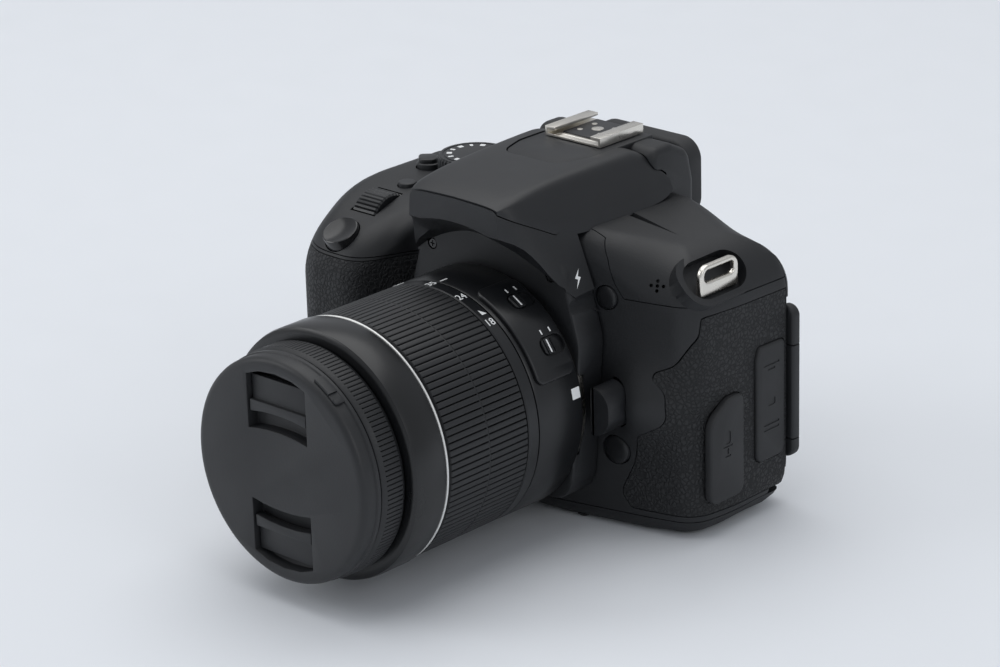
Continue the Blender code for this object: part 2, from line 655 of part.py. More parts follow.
def make_inside():
    box = piece("mirror_box", block((-19.4, -41.2, 17.2), (19.4, -6.0, 57.2)), "shell")
    combine(box, block((-30.0, -24.5, 9.0), (42.0, -22.8, 60.0)), "UNION")
    combine(box, block((-17.6, -60.0, 19.0), (17.6, 10.0, 70.0)))
    piece("focusing_screen", block((-17.0, -37.0, 57.5), (17.0, -9.0, 58.9)), "glass")

    pivot = (0.0, -8.5, 51.0)
    mirror = bmesh.new()
    bmesh.ops.create_cube(mirror, size=1.0)
    bmesh.ops.scale(mirror, verts=mirror.verts, vec=(29.0, 27.0, 1.0))
    bmesh.ops.translate(mirror, verts=mirror.verts, vec=(0.0, -14.5, 0.0))
    bmesh.ops.rotate(mirror, verts=mirror.verts, cent=(0, 0, 0),
                     matrix=Matrix.Rotation(math.radians(45.0), 3, "X"))
    bmesh.ops.translate(mirror, verts=mirror.verts, vec=pivot)
    piece("reflex_mirror", mirror, "mirror", pivot)

    roof = [(-24.0, 59.4), (-24.0, 79.0), (-14.0, 89.0), (1.5, 84.0), (1.5, 76.0), (-3.0, 59.4)]
    piece("pentamirror", prism(roof, "x", -10.0, 10.0), "glass")
    piece("eyepiece_lens", prism(panel(-9.0, 76.6, 9.0, 88.0, 2.0), "y", 6.0, 9.0), "glass")

    piece("shutter_unit", block((-24.0, -5.4, 14.0), (24.0, -2.4, 58.6), 0.4), "dark_metal")
    piece("image_sensor", block((-15.0, -1.6, 26.0), (15.0, 0.6, 48.8), 0.3), "glass")
    piece("main_board", block((-32.0, 1.2, 8.0), (46.0, 2.6, 60.0)), "board")
    piece("battery", block((-62.6, -43.5, 2.4), (-47.2, -6.5, 54.0), 1.0), "dark_metal")


# ---------------------------------------------------------------- lens

def lens_ring(name, inner, outer, start, end, slot, sides=48, edge=0.6):
    """Ring about the optical axis between two distances in front of the flange."""
    wall = ring(inner, outer, start, end, (0, FLANGE_Y, AXIS_Z), (0, -1, 0), sides, edge)
    made = piece(name, wall, slot, (0.0, FLANGE_Y, AXIS_Z))
    shade(made)
    return made


def make_lens():
    profile = [(26.0, GAP), (32.0, GAP), (LENS_BASE_RADIUS, 2.0), (ZOOM_RADIUS, BARREL_END - SEAM),
               (31.6, BARREL_END - SEAM), (31.6, 50.0), (30.2, 50.0), (30.2, 12.0), (26.0, 8.0)]
    barrel = piece("lens_barrel", turned(profile, (0, FLANGE_Y, AXIS_Z), (0, -1, 0), 48), "shell")
    shade(barrel)
    centre = (0, FLANGE_Y, AXIS_Z)
    start = BARREL_END + SEAM
    bore = 31.6 + GAP
    sleeve = [(bore, start), (ZOOM_RADIUS, start), (ZOOM_RADIUS, ZOOM_END), (BAND_RADIUS, ZOOM_END + 1.0),
              (BAND_RADIUS, BAND_END - 1.2), (BAND_RADIUS - 1.0, BAND_END), (30.2, BAND_END),
              (30.2, 50.0 + GAP), (bore, 50.0 + GAP)]
    shade(piece("zoom_ring", turned(sleeve, centre, (0, -1, 0), 48), "rubber", centre))
    tube = [(24.0, 20.0), (INNER_RADIUS, 20.0), (INNER_RADIUS, BAND_END), (24.0, BAND_END)]
    shade(piece("inner_barrel", turned(tube, centre, (0, -1, 0), 48), "shell", centre))
    lens_ring("focus_ring", 24.3, FOCUS_RADIUS, BAND_END + GAP, FOCUS_END, "rubber")
    front_glass = [(0.0, 64.9), (24.0, 64.9), (24.0, 66.5), (21.0, 68.5), (12.0, 70.2), (0.0, 71.2)]
    shade(piece("front_lens_element", turned(front_glass, centre, (0, -1, 0), 32), "glass", centre))

    for name, degrees in (("focus_mode_switch", 31.0), ("stabiliser_switch", 55.0)):
        angle = math.radians(degrees)
        reach = LENS_BASE_RADIUS - 0.4
        foot = (reach * math.sin(angle), FLANGE_Y - 8.6, AXIS_Z + reach * math.cos(angle))
        knob = block((-1.9, -2.0, 0.8), (1.9, 2.0, 2.1), 0.3)
        bmesh.ops.rotate(knob, verts=knob.verts, cent=(0, 0, 0), matrix=Matrix.Rotation(angle, 3, "Y"))
        bmesh.ops.translate(knob, verts=knob.verts, vec=foot)
        piece(name, knob, "button", foot)


def make_cap():
    centre = (0.0, FLANGE_Y, AXIS_Z)
    profile = [(0.0, FOCUS_END + 1.8), (CAP_RADIUS - 1.6, FOCUS_END + 1.8), (CAP_RADIUS - 1.6, FOCUS_END + GAP),
               (CAP_RADIUS, FOCUS_END + GAP), (CAP_RADIUS, CAP_END - 0.8), (CAP_RADIUS - 0.8, CAP_END),
               (0.0, CAP_END)]
    cap = piece("lens_cap", turned(profile, centre, (0, -1, 0), 48), "shell", centre)
    face_y = FLANGE_Y - CAP_END
    for name, side in (("cap_upper_catch", 1.0), ("cap_lower_catch", -1.0)):
        z = [AXIS_Z + side * d for d in (9.5, 22.0)]
        pocket = block((-10.5, face_y - 5.0, min(z)), (10.5, face_y + 3.2, max(z)))
        combine(cap, pocket)
        z = [AXIS_Z + side * d for d in (15.0, 21.6)]
        catch = block((-10.1, face_y + 0.4, min(z)), (10.1, face_y + 2.9, max(z)), 0.5)
        piece(name, catch, "shell", (0.0, face_y, AXIS_Z + side * 18.0))
    shade(cap)


def main():
    for old in list(bpy.data.objects):
        bpy.data.objects.remove(old)
    front, top, base, rear = make_shells()
    grip, side = make_rubbers(front)
    make_top_controls(front, top)
    make_shoe_and_lugs(top)
    make_flash(top)
    make_front_controls(front)
    make_side_covers(front, side)
    make_doors(front, base)
    make_back(rear, top)
    make_inside()
    make_lens()
    make_cap()


main()
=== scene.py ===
# %% [markdown]
# # A single-lens reflex camera, from its frame to its looks
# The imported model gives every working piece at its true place. This lesson builds the looks
# around it: covers, rubber skins, lens rings and small marks, each riding the body it moves with.
# Sizes are in millimetres and become metres where a mesh is made.

# %% Load the frame
import math

import bpy
import numpy as np
from mathutils import Matrix, Vector


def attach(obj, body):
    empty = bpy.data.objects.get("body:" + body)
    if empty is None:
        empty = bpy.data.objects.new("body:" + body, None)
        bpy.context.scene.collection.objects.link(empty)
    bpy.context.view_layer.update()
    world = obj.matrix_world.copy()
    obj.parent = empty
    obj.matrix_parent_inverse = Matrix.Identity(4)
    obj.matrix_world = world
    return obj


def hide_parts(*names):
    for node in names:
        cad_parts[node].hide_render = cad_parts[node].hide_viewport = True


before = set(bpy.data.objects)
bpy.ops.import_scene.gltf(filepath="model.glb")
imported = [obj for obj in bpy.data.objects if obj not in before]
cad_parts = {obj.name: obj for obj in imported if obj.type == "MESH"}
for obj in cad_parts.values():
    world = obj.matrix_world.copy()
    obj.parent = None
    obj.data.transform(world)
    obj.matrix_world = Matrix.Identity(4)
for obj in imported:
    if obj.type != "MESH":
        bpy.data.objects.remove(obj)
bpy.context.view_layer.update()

MM = 0.001
print("frame nodes:", len(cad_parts))

# %% [markdown]
# ## Camera
# A long lens from the terminal side, a little above, shows the front, the top and one side at
# once. The camera is placed by its azimuth, elevation and a small roll about the line of sight.

# %% Camera
AIM = Vector((22.384, -64.0, 62.882)) * MM
AZIMUTH = math.radians(43.327)
ELEVATION = math.radians(20.689)
ROLL = math.radians(-1.6)
DISTANCE = 0.92384

back = Vector((math.sin(AZIMUTH) * math.cos(ELEVATION), -math.cos(AZIMUTH) * math.cos(ELEVATION),
               math.sin(ELEVATION)))
across = Vector((math.cos(AZIMUTH), math.sin(AZIMUTH), 0.0))
upward = back.cross(across)
side_axis = across * math.cos(ROLL) + upward * math.sin(ROLL)
top_axis = upward * math.cos(ROLL) - across * math.sin(ROLL)
turn = Matrix((side_axis, top_axis, back)).transposed()
lens_data = bpy.data.cameras.new("studio_camera")
lens_data.lens = 128.8
lens_data.sensor_width = 36.0
lens_data.clip_start = 0.01
studio_camera = bpy.data.objects.new("studio_camera", lens_data)
studio_camera.matrix_world = Matrix.Translation(AIM + back * DISTANCE) @ turn.to_4x4()
bpy.context.scene.collection.objects.link(studio_camera)
bpy.context.scene.camera = studio_camera
print("camera", DISTANCE, "m from its aim")

# %% [markdown]
# ## Operators act on the selection
# A fresh import leaves everything selected, so each step starts from nothing selected. These few
# helpers select one object, open it in edit mode, and apply modifiers by name.

# %% Selection and modifier helpers
def only(thing):
    bpy.ops.object.select_all(action="DESELECT")
    thing.select_set(True)
    bpy.context.view_layer.objects.active = thing
    return thing


def editing(thing, *steps):
    """Open the whole mesh in edit mode and run the given steps on it."""
    only(thing)
    bpy.ops.object.mode_set(mode="EDIT")
    bpy.ops.mesh.select_all(action="SELECT")
    for step in steps:
        step()
    bpy.ops.object.mode_set(mode="OBJECT")
    return thing


def outward():
    bpy.ops.mesh.remove_doubles(threshold=0.004 * MM)
    bpy.ops.mesh.normals_make_consistent(inside=False)


def apply(thing, kind, **settings):
    only(thing)
    added = thing.modifiers.new(kind.lower(), kind)
    for key, value in settings.items():
        setattr(added, key, value)
    bpy.ops.object.modifier_apply(modifier=added.name)
    return thing


def soft_edges(thing, width, segments=2, angle=40.0):
    return apply(thing, "BEVEL", width=width * MM, segments=segments, limit_method="ANGLE",
                 angle_limit=math.radians(angle), harden_normals=False)


def extent(thing):
    """Width, depth and height added up, in millimetres; nothing left gives zero."""
    places = np.array([tuple(v.co) for v in thing.data.vertices])
    return float(np.ptp(places, axis=0).sum() / MM) if len(places) else 0.0


def cut(target, tool, operation="DIFFERENCE"):
    """Boolean with the tool; if the solver loses the piece, the tool moves a hair and it runs again."""
    whole = target.data.copy()
    least = 0.0 if operation == "INTERSECT" else 0.5 * extent(target)
    for nudge in (0.003, 0.004, 0.006, 0.009):
        apply(target, "BOOLEAN", operation=operation, solver="EXACT", object=tool)
        if extent(target) > least:
            break
        print("cut repeated on", target.name, "with", tool.name)
        target.data = whole.copy()
        tool.data.transform(Matrix.Translation((nudge * MM, 0.7 * nudge * MM, -1.3 * nudge * MM)))
    bpy.data.objects.remove(tool)
    editing(target, lambda: bpy.ops.mesh.remove_doubles(threshold=0.004 * MM))
    return target


def smooth_shading(thing, angle=35.0):
    only(thing)
    bpy.ops.object.shade_smooth_by_angle(angle=math.radians(angle))
    return thing


print("helpers ready")

# %% [markdown]
# ## Shapes from outlines and profiles
# Most moulded parts are an outline pushed along one axis, or a profile spun about one. Both start
# as a few points and are finished by the extrude and spin operators. Points are made from code.

# %% Outlines
def from_points(name, points, edges=(), faces=()):
    mesh = bpy.data.meshes.new(name)
    mesh.from_pydata([tuple(Vector(p) * MM) for p in points], edges, faces)
    made = bpy.data.objects.new(name, mesh)
    bpy.context.scene.collection.objects.link(made)
    return made


def rounded(corners, step=6.0):
    """Closed outline through corners (u, v, radius), each corner turned on an arc."""
    points = []
    count = len(corners)
    for index, (u, v, radius) in enumerate(corners):
        here = Vector((u, v))
        before = (Vector(corners[index - 1][:2]) - here).normalized()
        after = (Vector(corners[(index + 1) % count][:2]) - here).normalized()
        half = before.angle(after) / 2.0
        sweep = math.pi - 2.0 * half
        centre = here + (before + after).normalized() * (radius / math.sin(half))
        start = here + before * (radius / math.tan(half)) - centre
        steps = max(1, math.ceil(math.degrees(sweep) / step))
        side = 1.0 if before.cross(after) < 0.0 else -1.0
        for k in range(steps + 1):
            point = centre + Matrix.Rotation(side * sweep * k / steps, 2) @ start
            if not points or (point - Vector(points[-1])).length > 0.01:
                points.append(tuple(point))
    if (Vector(points[0]) - Vector(points[-1])).length < 0.01:
        points.pop()
    return points


def panel(u0, v0, u1, v1, radius):
    return rounded([(u0, v0, radius), (u1, v0, radius), (u1, v1, radius), (u0, v1, radius)])


PLACE = {
    "x": lambda u, v, t: (t, u, v),
    "y": lambda u, v, t: (u, t, v),
    "z": lambda u, v, t: (u, v, t),
}


def slab(name, outline, axis, low, high, edge=0.0, segments=2):
    """Outline extruded from low to high, its end edges eased."""
    place = PLACE[axis]
    made = from_points(name, [place(u, v, low) for u, v in outline], (), [range(len(outline))])
    rise = Vector(place(0.0, 0.0, high - low)) * MM
    editing(made, lambda: bpy.ops.mesh.extrude_region_move(
        TRANSFORM_OT_translate={"value": rise, "orient_type": "GLOBAL"}), outward_all)
    if edge > 0.0:
        soft_edges(made, edge, segments, 60.0)
    return made


def outward_all():
    bpy.ops.mesh.select_all(action="SELECT")
    outward()


def cuboid(name, low, high, edge=0.0, segments=2):
    low, high = Vector(low), Vector(high)
    only(bpy.context.scene.camera)
    bpy.ops.mesh.primitive_cube_add(size=1.0, location=(low + high) / 2.0 * MM, scale=(high - low) * MM)
    made = settled(bpy.context.object, name)
    if edge > 0.0:
        soft_edges(made, edge, segments)
    return made


def settled(thing, name):
    """Name it and put its place and size into its mesh."""
    thing.name = name
    thing.data.name = name
    only(thing)
    bpy.ops.object.transform_apply(location=True, rotation=True, scale=True)
    return thing


def spun(name, profile, centre, direction, steps=96):
    """Profile of (radius, height) spun about direction. It closes on itself or on the axis."""
    count = len(profile)
    pairs = [(k, k + 1) for k in range(count - 1)]
    if min(profile[0][0], profile[-1][0]) > 0.0:
        pairs.append((count - 1, 0))
    made = from_points(name, [(radius, 0.0, height) for radius, height in profile], pairs)
    editing(made, lambda: bpy.ops.mesh.spin(steps=steps, angle=2.0 * math.pi, center=(0, 0, 0),
                                            axis=(0, 0, 1)), outward_all)
    tilt = Vector((0, 0, 1)).rotation_difference(Vector(direction)).to_matrix().to_4x4()
    made.data.transform(Matrix.Translation(Vector(centre) * MM) @ tilt)
    return made


def disc(name, radius, low, high, centre, direction, edge=0.3, sides=48):
    """Round plug with an eased rim on its outer face."""
    rim = [(radius - edge + edge * math.sin(t), high - edge + edge * math.cos(t))
           for t in (math.pi / 2, math.pi / 3, math.pi / 6, 0.0)]
    return spun(name, [(0.0, low), (radius, low)] + rim + [(0.0, high)], centre, direction, sides)


print("outline of a round-cornered panel has", len(panel(0, 0, 10, 10, 2)), "points")

# %% [markdown]
# ## Surface effects as node groups
# A moulded case is never one flat colour. Its spark-eroded tool leaves a fine grain, hands polish
# its edges, and its gloss wanders a little. Each effect is a group with its own inputs, built once.

# %% Node helpers
def new_group(name, inputs, outputs):
    tree = bpy.data.node_groups.new(name, "ShaderNodeTree")
    for label, value in inputs.items():
        kind = "NodeSocketColor" if isinstance(value, tuple) else "NodeSocketFloat"
        socket = tree.interface.new_socket(label, in_out="INPUT", socket_type=kind)
        socket.default_value = value
    for label, kind in outputs.items():
        tree.interface.new_socket(label, in_out="OUTPUT", socket_type=kind)
    return tree, tree.nodes.new("NodeGroupInput"), tree.nodes.new("NodeGroupOutput")


def add(tree, kind, links=None, **settings):
    """A node with settings, and its inputs either linked from sockets or set to values."""
    made = tree.nodes.new(kind)
    for key, value in settings.items():
        setattr(made, key, value)
    for key, value in (links or {}).items():
        if isinstance(value, bpy.types.NodeSocket):
            tree.links.new(value, made.inputs[key])
        else:
            made.inputs[key].default_value = value
    return made


def moulded_grain():
    tree, given, result = new_group("moulded_grain", {
        "Grain Scale": 2200.0, "Grain Height": 0.3, "Gloss Low": 0.4, "Gloss High": 0.55,
        "Colour": (0.02, 0.02, 0.02, 1.0), "Worn Colour": (0.05, 0.05, 0.05, 1.0)},
        {"Colour": "NodeSocketColor", "Roughness": "NodeSocketFloat", "Normal": "NodeSocketVector"})
    place = add(tree, "ShaderNodeTexCoord").outputs["Object"]
    grain = add(tree, "ShaderNodeTexNoise", {"Vector": place, "Scale": given.outputs["Grain Scale"],
                                             "Detail": 3.0, "Roughness": 0.6})
    bump = add(tree, "ShaderNodeBump", {"Strength": given.outputs["Grain Height"], "Distance": 0.0001,
                                        "Height": grain.outputs["Fac"]})
    drift = add(tree, "ShaderNodeTexNoise", {"Vector": place, "Scale": 60.0, "Detail": 4.0})
    gloss = add(tree, "ShaderNodeMapRange", {"Value": drift.outputs["Fac"], "From Min": 0.3, "From Max": 0.7,
                                             "To Min": given.outputs["Gloss Low"],
                                             "To Max": given.outputs["Gloss High"]})
    shape = add(tree, "ShaderNodeNewGeometry")
    worn = add(tree, "ShaderNodeMapRange", {"Value": shape.outputs["Pointiness"], "From Min": 0.53,
                                            "From Max": 0.62, "To Min": 0.0, "To Max": 0.5})
    dust = add(tree, "ShaderNodeMapRange", {"Value": drift.outputs["Fac"], "From Min": 0.35, "From Max": 0.75,
                                            "To Min": 0.0, "To Max": 0.12})
    amount = add(tree, "ShaderNodeMath", {0: worn.outputs["Result"], 1: dust.outputs["Result"]},
                 operation="ADD", use_clamp=True)
    colour = add(tree, "ShaderNodeMix", {0: amount.outputs[0], 6: given.outputs["Colour"],
                                         7: given.outputs["Worn Colour"]}, data_type="RGBA")
    tree.links.new(colour.outputs[2], result.inputs["Colour"])
    tree.links.new(gloss.outputs["Result"], result.inputs["Roughness"])
    tree.links.new(bump.outputs["Normal"], result.inputs["Normal"])
    return tree


def leather_grain():
    tree, given, result = new_group("leather_grain", {
        "Pebble Scale": 780.0, "Pebble Height": 0.75, "Colour": (0.02, 0.02, 0.02, 1.0)},
        {"Colour": "NodeSocketColor", "Roughness": "NodeSocketFloat", "Normal": "NodeSocketVector"})
    place = add(tree, "ShaderNodeTexCoord").outputs["Object"]
    wander = add(tree, "ShaderNodeTexNoise", {"Vector": place, "Scale": 700.0, "Detail": 2.0})
    pull = add(tree, "ShaderNodeVectorMath", {0: wander.outputs["Color"], 1: (0.0012, 0.0012, 0.0012)},
               operation="MULTIPLY")
    moved = add(tree, "ShaderNodeVectorMath", {0: place, 1: pull.outputs[0]}, operation="ADD")
    pebble = add(tree, "ShaderNodeTexVoronoi", {"Vector": moved.outputs[0],
                                                "Scale": given.outputs["Pebble Scale"]},
                 feature="DISTANCE_TO_EDGE")
    crown = add(tree, "ShaderNodeMapRange", {"Value": pebble.outputs["Distance"], "From Max": 0.28},
                interpolation_type="SMOOTHSTEP")
    bump = add(tree, "ShaderNodeBump", {"Strength": given.outputs["Pebble Height"], "Distance": 0.00025,
                                        "Height": crown.outputs["Result"]})
    height = crown.outputs["Result"]
    gloss = add(tree, "ShaderNodeMapRange", {"Value": height, "To Min": 0.78, "To Max": 0.52})
    # Painted shade: the colour is darkened to 0.8 of itself in the valleys between the pebbles.
    shade = add(tree, "ShaderNodeMapRange", {"Value": height, "To Min": 0.80, "To Max": 1.0})
    colour = add(tree, "ShaderNodeVectorMath", {0: given.outputs["Colour"], 3: shade.outputs["Result"]},
                 operation="SCALE")
    tree.links.new(colour.outputs[0], result.inputs["Colour"])
    tree.links.new(gloss.outputs["Result"], result.inputs["Roughness"])
    tree.links.new(bump.outputs["Normal"], result.inputs["Normal"])
    return tree


GRAIN = moulded_grain()
LEATHER = leather_grain()
print("effect groups:", GRAIN.name, LEATHER.name)

# %% [markdown]
# ## Finishes
# Each finish on the camera places one effect group with its own values, and keeps its own shader.

# %% Finishes
def finish(name, group, inputs, **shader_values):
    made = bpy.data.materials.new(name)
    made.use_nodes = True
    tree = made.node_tree
    shader = tree.nodes["Principled BSDF"]
    effect = tree.nodes.new("ShaderNodeGroup")
    effect.node_tree = group
    for key, value in inputs.items():
        effect.inputs[key].default_value = value
    tree.links.new(effect.outputs["Colour"], shader.inputs["Base Color"])
    tree.links.new(effect.outputs["Roughness"], shader.inputs["Roughness"])
    tree.links.new(effect.outputs["Normal"], shader.inputs["Normal"])
    for key, value in shader_values.items():
        shader.inputs[key.replace("_", " ")].default_value = value
    return made


def plain_grain(name, colour, gloss, grain=(2200.0, 0.3), worn=2.0, **shader_values):
    """Moulded finish: colour, (low, high) roughness, (scale, height) of the grain."""
    worn_colour = tuple(min(1.0, c * worn) for c in colour)
    return finish(name, GRAIN, {
        "Colour": (*colour, 1.0), "Worn Colour": (*worn_colour, 1.0), "Gloss Low": gloss[0],
        "Gloss High": gloss[1], "Grain Scale": grain[0], "Grain Height": grain[1]}, **shader_values)


BLACK = (0.0080, 0.0088, 0.0104)
FINISH = {
    "case": plain_grain("moulded_case", BLACK, (0.46, 0.56), (2400.0, 0.35)),
    "lid": plain_grain("satin_lid", BLACK, (0.38, 0.46), (2600.0, 0.16)),
    "leather": finish("leather_grain_rubber", LEATHER, {"Colour": (0.0085, 0.0094, 0.0110, 1.0)}),
    "cover": plain_grain("smooth_rubber", (0.0150, 0.0158, 0.0175), (0.55, 0.66), (1500.0, 0.25), 1.4),
    "ribs": plain_grain("ribbed_rubber", (0.0105, 0.0113, 0.0128), (0.42, 0.54), (2000.0, 0.3), 1.6),
    "barrel": plain_grain("lens_barrel_satin", (0.0062, 0.0068, 0.0080), (0.30, 0.38), (2600.0, 0.14)),
    "band": plain_grain("front_band_satin", (0.0045, 0.0049, 0.0056), (0.26, 0.34), (2600.0, 0.10)),
    "cap": plain_grain("cap_face", (0.0115, 0.0123, 0.0140), (0.42, 0.52), (1800.0, 0.4), 1.6),
    "button": plain_grain("button_satin", (0.0090, 0.0097, 0.0112), (0.34, 0.44), (2600.0, 0.15)),
    "gloss": plain_grain("gloss_trim", (0.010, 0.0102, 0.011), (0.16, 0.24), (2600.0, 0.04)),
    "deep": plain_grain("matt_inside", (0.010, 0.010, 0.0105), (0.75, 0.85), (1500.0, 0.2), 1.2),
    "steel": plain_grain("polished_steel", (0.80, 0.765, 0.70), (0.20, 0.34), (900.0, 0.10), 1.0,
                         Metallic=1.0),
    "silver": plain_grain("silver_ring", (0.86, 0.86, 0.84), (0.30, 0.40), (1500.0, 0.05), 1.0,
                          Metallic=0.35),
    "white": plain_grain("white_ink", (0.82, 0.83, 0.83), (0.45, 0.55), (2200.0, 0.1), 1.0),
    "grey": plain_grain("grey_ink", (0.30, 0.31, 0.32), (0.5, 0.6), (2200.0, 0.1), 1.0),
    "glass": plain_grain("coated_glass", (0.020, 0.026, 0.036), (0.04, 0.08), (300.0, 0.0), 1.0,
                         Coat_Weight=1.0),
    "mirror": plain_grain("front_silvered", (0.85, 0.86, 0.88), (0.03, 0.06), (300.0, 0.0), 1.0,
                          Metallic=1.0),
    "board": plain_grain("solder_mask", (0.02, 0.12, 0.05), (0.35, 0.5), (700.0, 0.2), 1.5),
    "floor": plain_grain("studio_floor", (0.80, 0.825, 0.86), (0.55, 0.7), (200.0, 0.02), 1.0),
}
print(len(FINISH), "finishes")

# %% [markdown]
# ## Studio
# A pale floor and large soft lamps overhead make the top faces mid grey and the sides darker, with
# a soft shadow under the camera. The floor is one flat sheet.

# %% Floor and lamps
def sweep_sheet():
    bpy.ops.object.select_all(action="DESELECT")
    bpy.ops.mesh.primitive_plane_add(size=8.0, location=(0.0, 0.0, 0.0))
    sheet = settled(bpy.context.object, "studio_sheet")
    sheet.data.materials.append(FINISH["floor"])
    return sheet


def lamp(name, where, size, power, colour):
    data = bpy.data.lights.new(name, "AREA")
    data.shape = "DISK"
    data.size = size
    data.energy = power
    data.color = colour
    made = bpy.data.objects.new(name, data)
    made.location = where
    made.rotation_euler = (AIM - Vector(where)).to_track_quat("-Z", "Y").to_euler()
    bpy.context.scene.collection.objects.link(made)
    return made


def studio():
    world = bpy.data.worlds.new("studio_air")
    world.use_nodes = True
    world.node_tree.nodes["Background"].inputs["Color"].default_value = (0.86, 0.89, 0.94, 1.0)
    world.node_tree.nodes["Background"].inputs["Strength"].default_value = 0.50
    bpy.context.scene.world = world
    sweep_sheet()
    lamp("top_lamp", (-0.25, 0.15, 1.5), 2.0, 13.5, (1.0, 1.0, 1.0))
    lamp("left_lamp", (-1.2, -1.1, 0.9), 0.9, 5.5, (0.98, 0.99, 1.0))
    lamp("right_lamp", (1.5, -0.3, 0.8), 0.9, 2.6, (0.98, 0.99, 1.0))


studio()
bpy.context.scene.view_settings.view_transform = "Standard"

# %% [markdown]
# ## Handing a piece to the frame
# A finished piece gets its finish, rides the body it belongs to, and may stand for CAD nodes, which
# are then hidden.

# %% Hand over a piece
def hand_over(thing, name, look, body="camera_body", stands_for=(), angle=35.0):
    thing.name = name
    thing.data.name = name
    thing.data.materials.clear()
    thing.data.materials.append(FINISH[look])
    smooth_shading(thing, angle)
    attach(thing, body)
    if stands_for:
        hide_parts(*stands_for)
    return thing


# %% [markdown]
# ## The body's skin
# The covers share one outer skin. A plan outline gives its corners, a height formula its top: a
# level shoulder, a grip that slopes to the front, and rolled edges. Rings of points run from the
# base fillet up the walls and in to a spine. Swellings, such as the wing behind the lens release,
# push the wall out smoothly, so they have no edge.

# %% Skin of the body
GRIP_X = -71.5
REAR_Y = 12.0
SIDE_X = 58.0
PLAN = [
    (GRIP_X, REAR_Y, 8.0), (GRIP_X, -31.0, 40.0), (-63.6, -55.0, 14.0), (-41.0, -55.0, 8.5),
    (-32.5, -35.0, 7.0), (12.0, -36.3, 60.0), (34.0, -31.4, 60.0), (56.0, -26.5, 9.0),
    (SIDE_X, -12.0, 60.0), (SIDE_X + 1.0, REAR_Y, 4.0),
]
SPINE = (-51.0, 39.0, -14.0)
BASE_ROUND = 6.0
WALL = 2.4
RUBBER = 1.3
AXIS_Z = 37.4
FLANGE_Y = -44.0
# Swellings of the front wall: x, z, half width, half height, how far forward
SWELLINGS = [(44.5, 37.6, 7.5, 8.5, 4.6), (38.0, 37.4, 7.0, 9.5, 2.6)]


def smooth(t):
    t = np.clip(t, 0.0, 1.0)
    return t * t * (3.0 - 2.0 * t)


def evenly(outline, count):
    """The closed outline again, as count points with equal steps between them."""
    points = np.array(outline + [outline[0]])
    walked = np.concatenate([[0.0], np.cumsum(np.linalg.norm(np.diff(points, axis=0), axis=1))])
    stops = np.linspace(0.0, walked[-1], count, endpoint=False)
    return np.column_stack([np.interp(stops, walked, points[:, k]) for k in (0, 1)])


def inset_outline(points, distance):
    along = np.roll(points, -1, axis=0) - np.roll(points, 1, axis=0)
    normal = np.column_stack([-along[:, 1], along[:, 0]]) / np.linalg.norm(along, axis=1, keepdims=True)
    area = np.sum(points[:, 0] * np.roll(points[:, 1], -1) - np.roll(points[:, 0], -1) * points[:, 1])
    return points + normal * distance * np.sign(area)


def widened(outline, gap, count=200):
    """The outline pushed outwards by the clearance gap."""
    return [tuple(p) for p in inset_outline(evenly(outline, count), -gap)]


def edge_distance(points, outline):
    span = np.roll(outline, -1, axis=0) - outline
    rel = points[:, None, :] - outline[None, :, :]
    along = np.clip(np.sum(rel * span, axis=2) / np.sum(span * span, axis=1), 0.0, 1.0)
    gap = rel - along[:, :, None] * span
    return np.sqrt(np.min(np.sum(gap * gap, axis=2), axis=1))


def top_height(plan, edge, inset):
    x, y = plan[:, 0], plan[:, 1]
    grip = 79.0 - 0.0089 * np.maximum(0.0, -18.0 - y) ** 2
    shoulder = 82.5 - 0.19 * np.maximum(0.0, x - 24.0)
    height = grip + (shoulder - grip) * smooth((x + 38.0) / 12.0)
    rounding = 7.0 + 7.0 * smooth((x - 25.0) / 22.0) + 6.5 * smooth((-50.0 - x) / 18.0)
    radius = np.maximum(rounding - inset, 1.0)
    reach = np.clip(radius - edge, 0.0, None)
    return height - inset - (radius - np.sqrt(np.maximum(radius ** 2 - reach ** 2, 0.0)))


def swell(ring):
    """Push points of a wall ring forward where a swelling is; deeper skins follow it."""
    x, y, z = ring.T
    front = smooth((-20.0 - y) / 6.0)
    for cx, cz, half_x, half_z, reach in SWELLINGS:
        rise = np.exp(-((x - cx) / half_x) ** 2 - ((z - cz) / half_z) ** 2)
        ring[:, 1] -= reach * rise * front
    return ring


def body_skin(name, inset, count=240, walls=26, levels=20):
    outline = inset_outline(evenly(rounded(PLAN, 5.0), count), inset)
    x, y = outline.T
    port = smooth((x - 40.0) / 12.0)
    base = np.maximum(BASE_ROUND + port * (2.0 + 5.0 * smooth((y + 17.0) / 28.0)) - inset, 1.0)
    target = np.column_stack([np.clip(x, SPINE[0], SPINE[1]), np.full(count, SPINE[2])])
    inward = (target - outline) / np.linalg.norm(target - outline, axis=1, keepdims=True)
    rings = []
    for angle in np.linspace(0.0, 0.5 * math.pi, 7):
        shift = base * (1.0 - math.sin(angle))
        height = inset + base * (1.0 - math.cos(angle))
        rings.append(np.column_stack([outline + inward * shift[:, None], height]))
    foot = rings[-1][:, 2]
    brow = top_height(outline, np.zeros(count), inset)
    for fraction in np.linspace(0.0, 1.0, walls)[1:-1]:
        rings.append(np.column_stack([outline, foot + (brow - foot) * fraction]))
    for k in range(levels):
        plan = outline + (target - outline) * 0.95 * (k / (levels - 1.0)) ** 1.9
        rings.append(np.column_stack([plan, top_height(plan, edge_distance(plan, outline), inset)]))
    rings = [swell(ring) for ring in rings]
    faces = [(r * count + i, r * count + (i + 1) % count,
              (r + 1) * count + (i + 1) % count, (r + 1) * count + i)
             for r in range(len(rings) - 1) for i in range(count)]
    last = (len(rings) - 1) * count
    faces += [tuple(range(count))[::-1], tuple(range(last, last + count))]
    made = from_points(name, np.vstack(rings), (), faces)
    return editing(made, lambda: bpy.ops.mesh.quads_convert_to_tris(), outward_all)


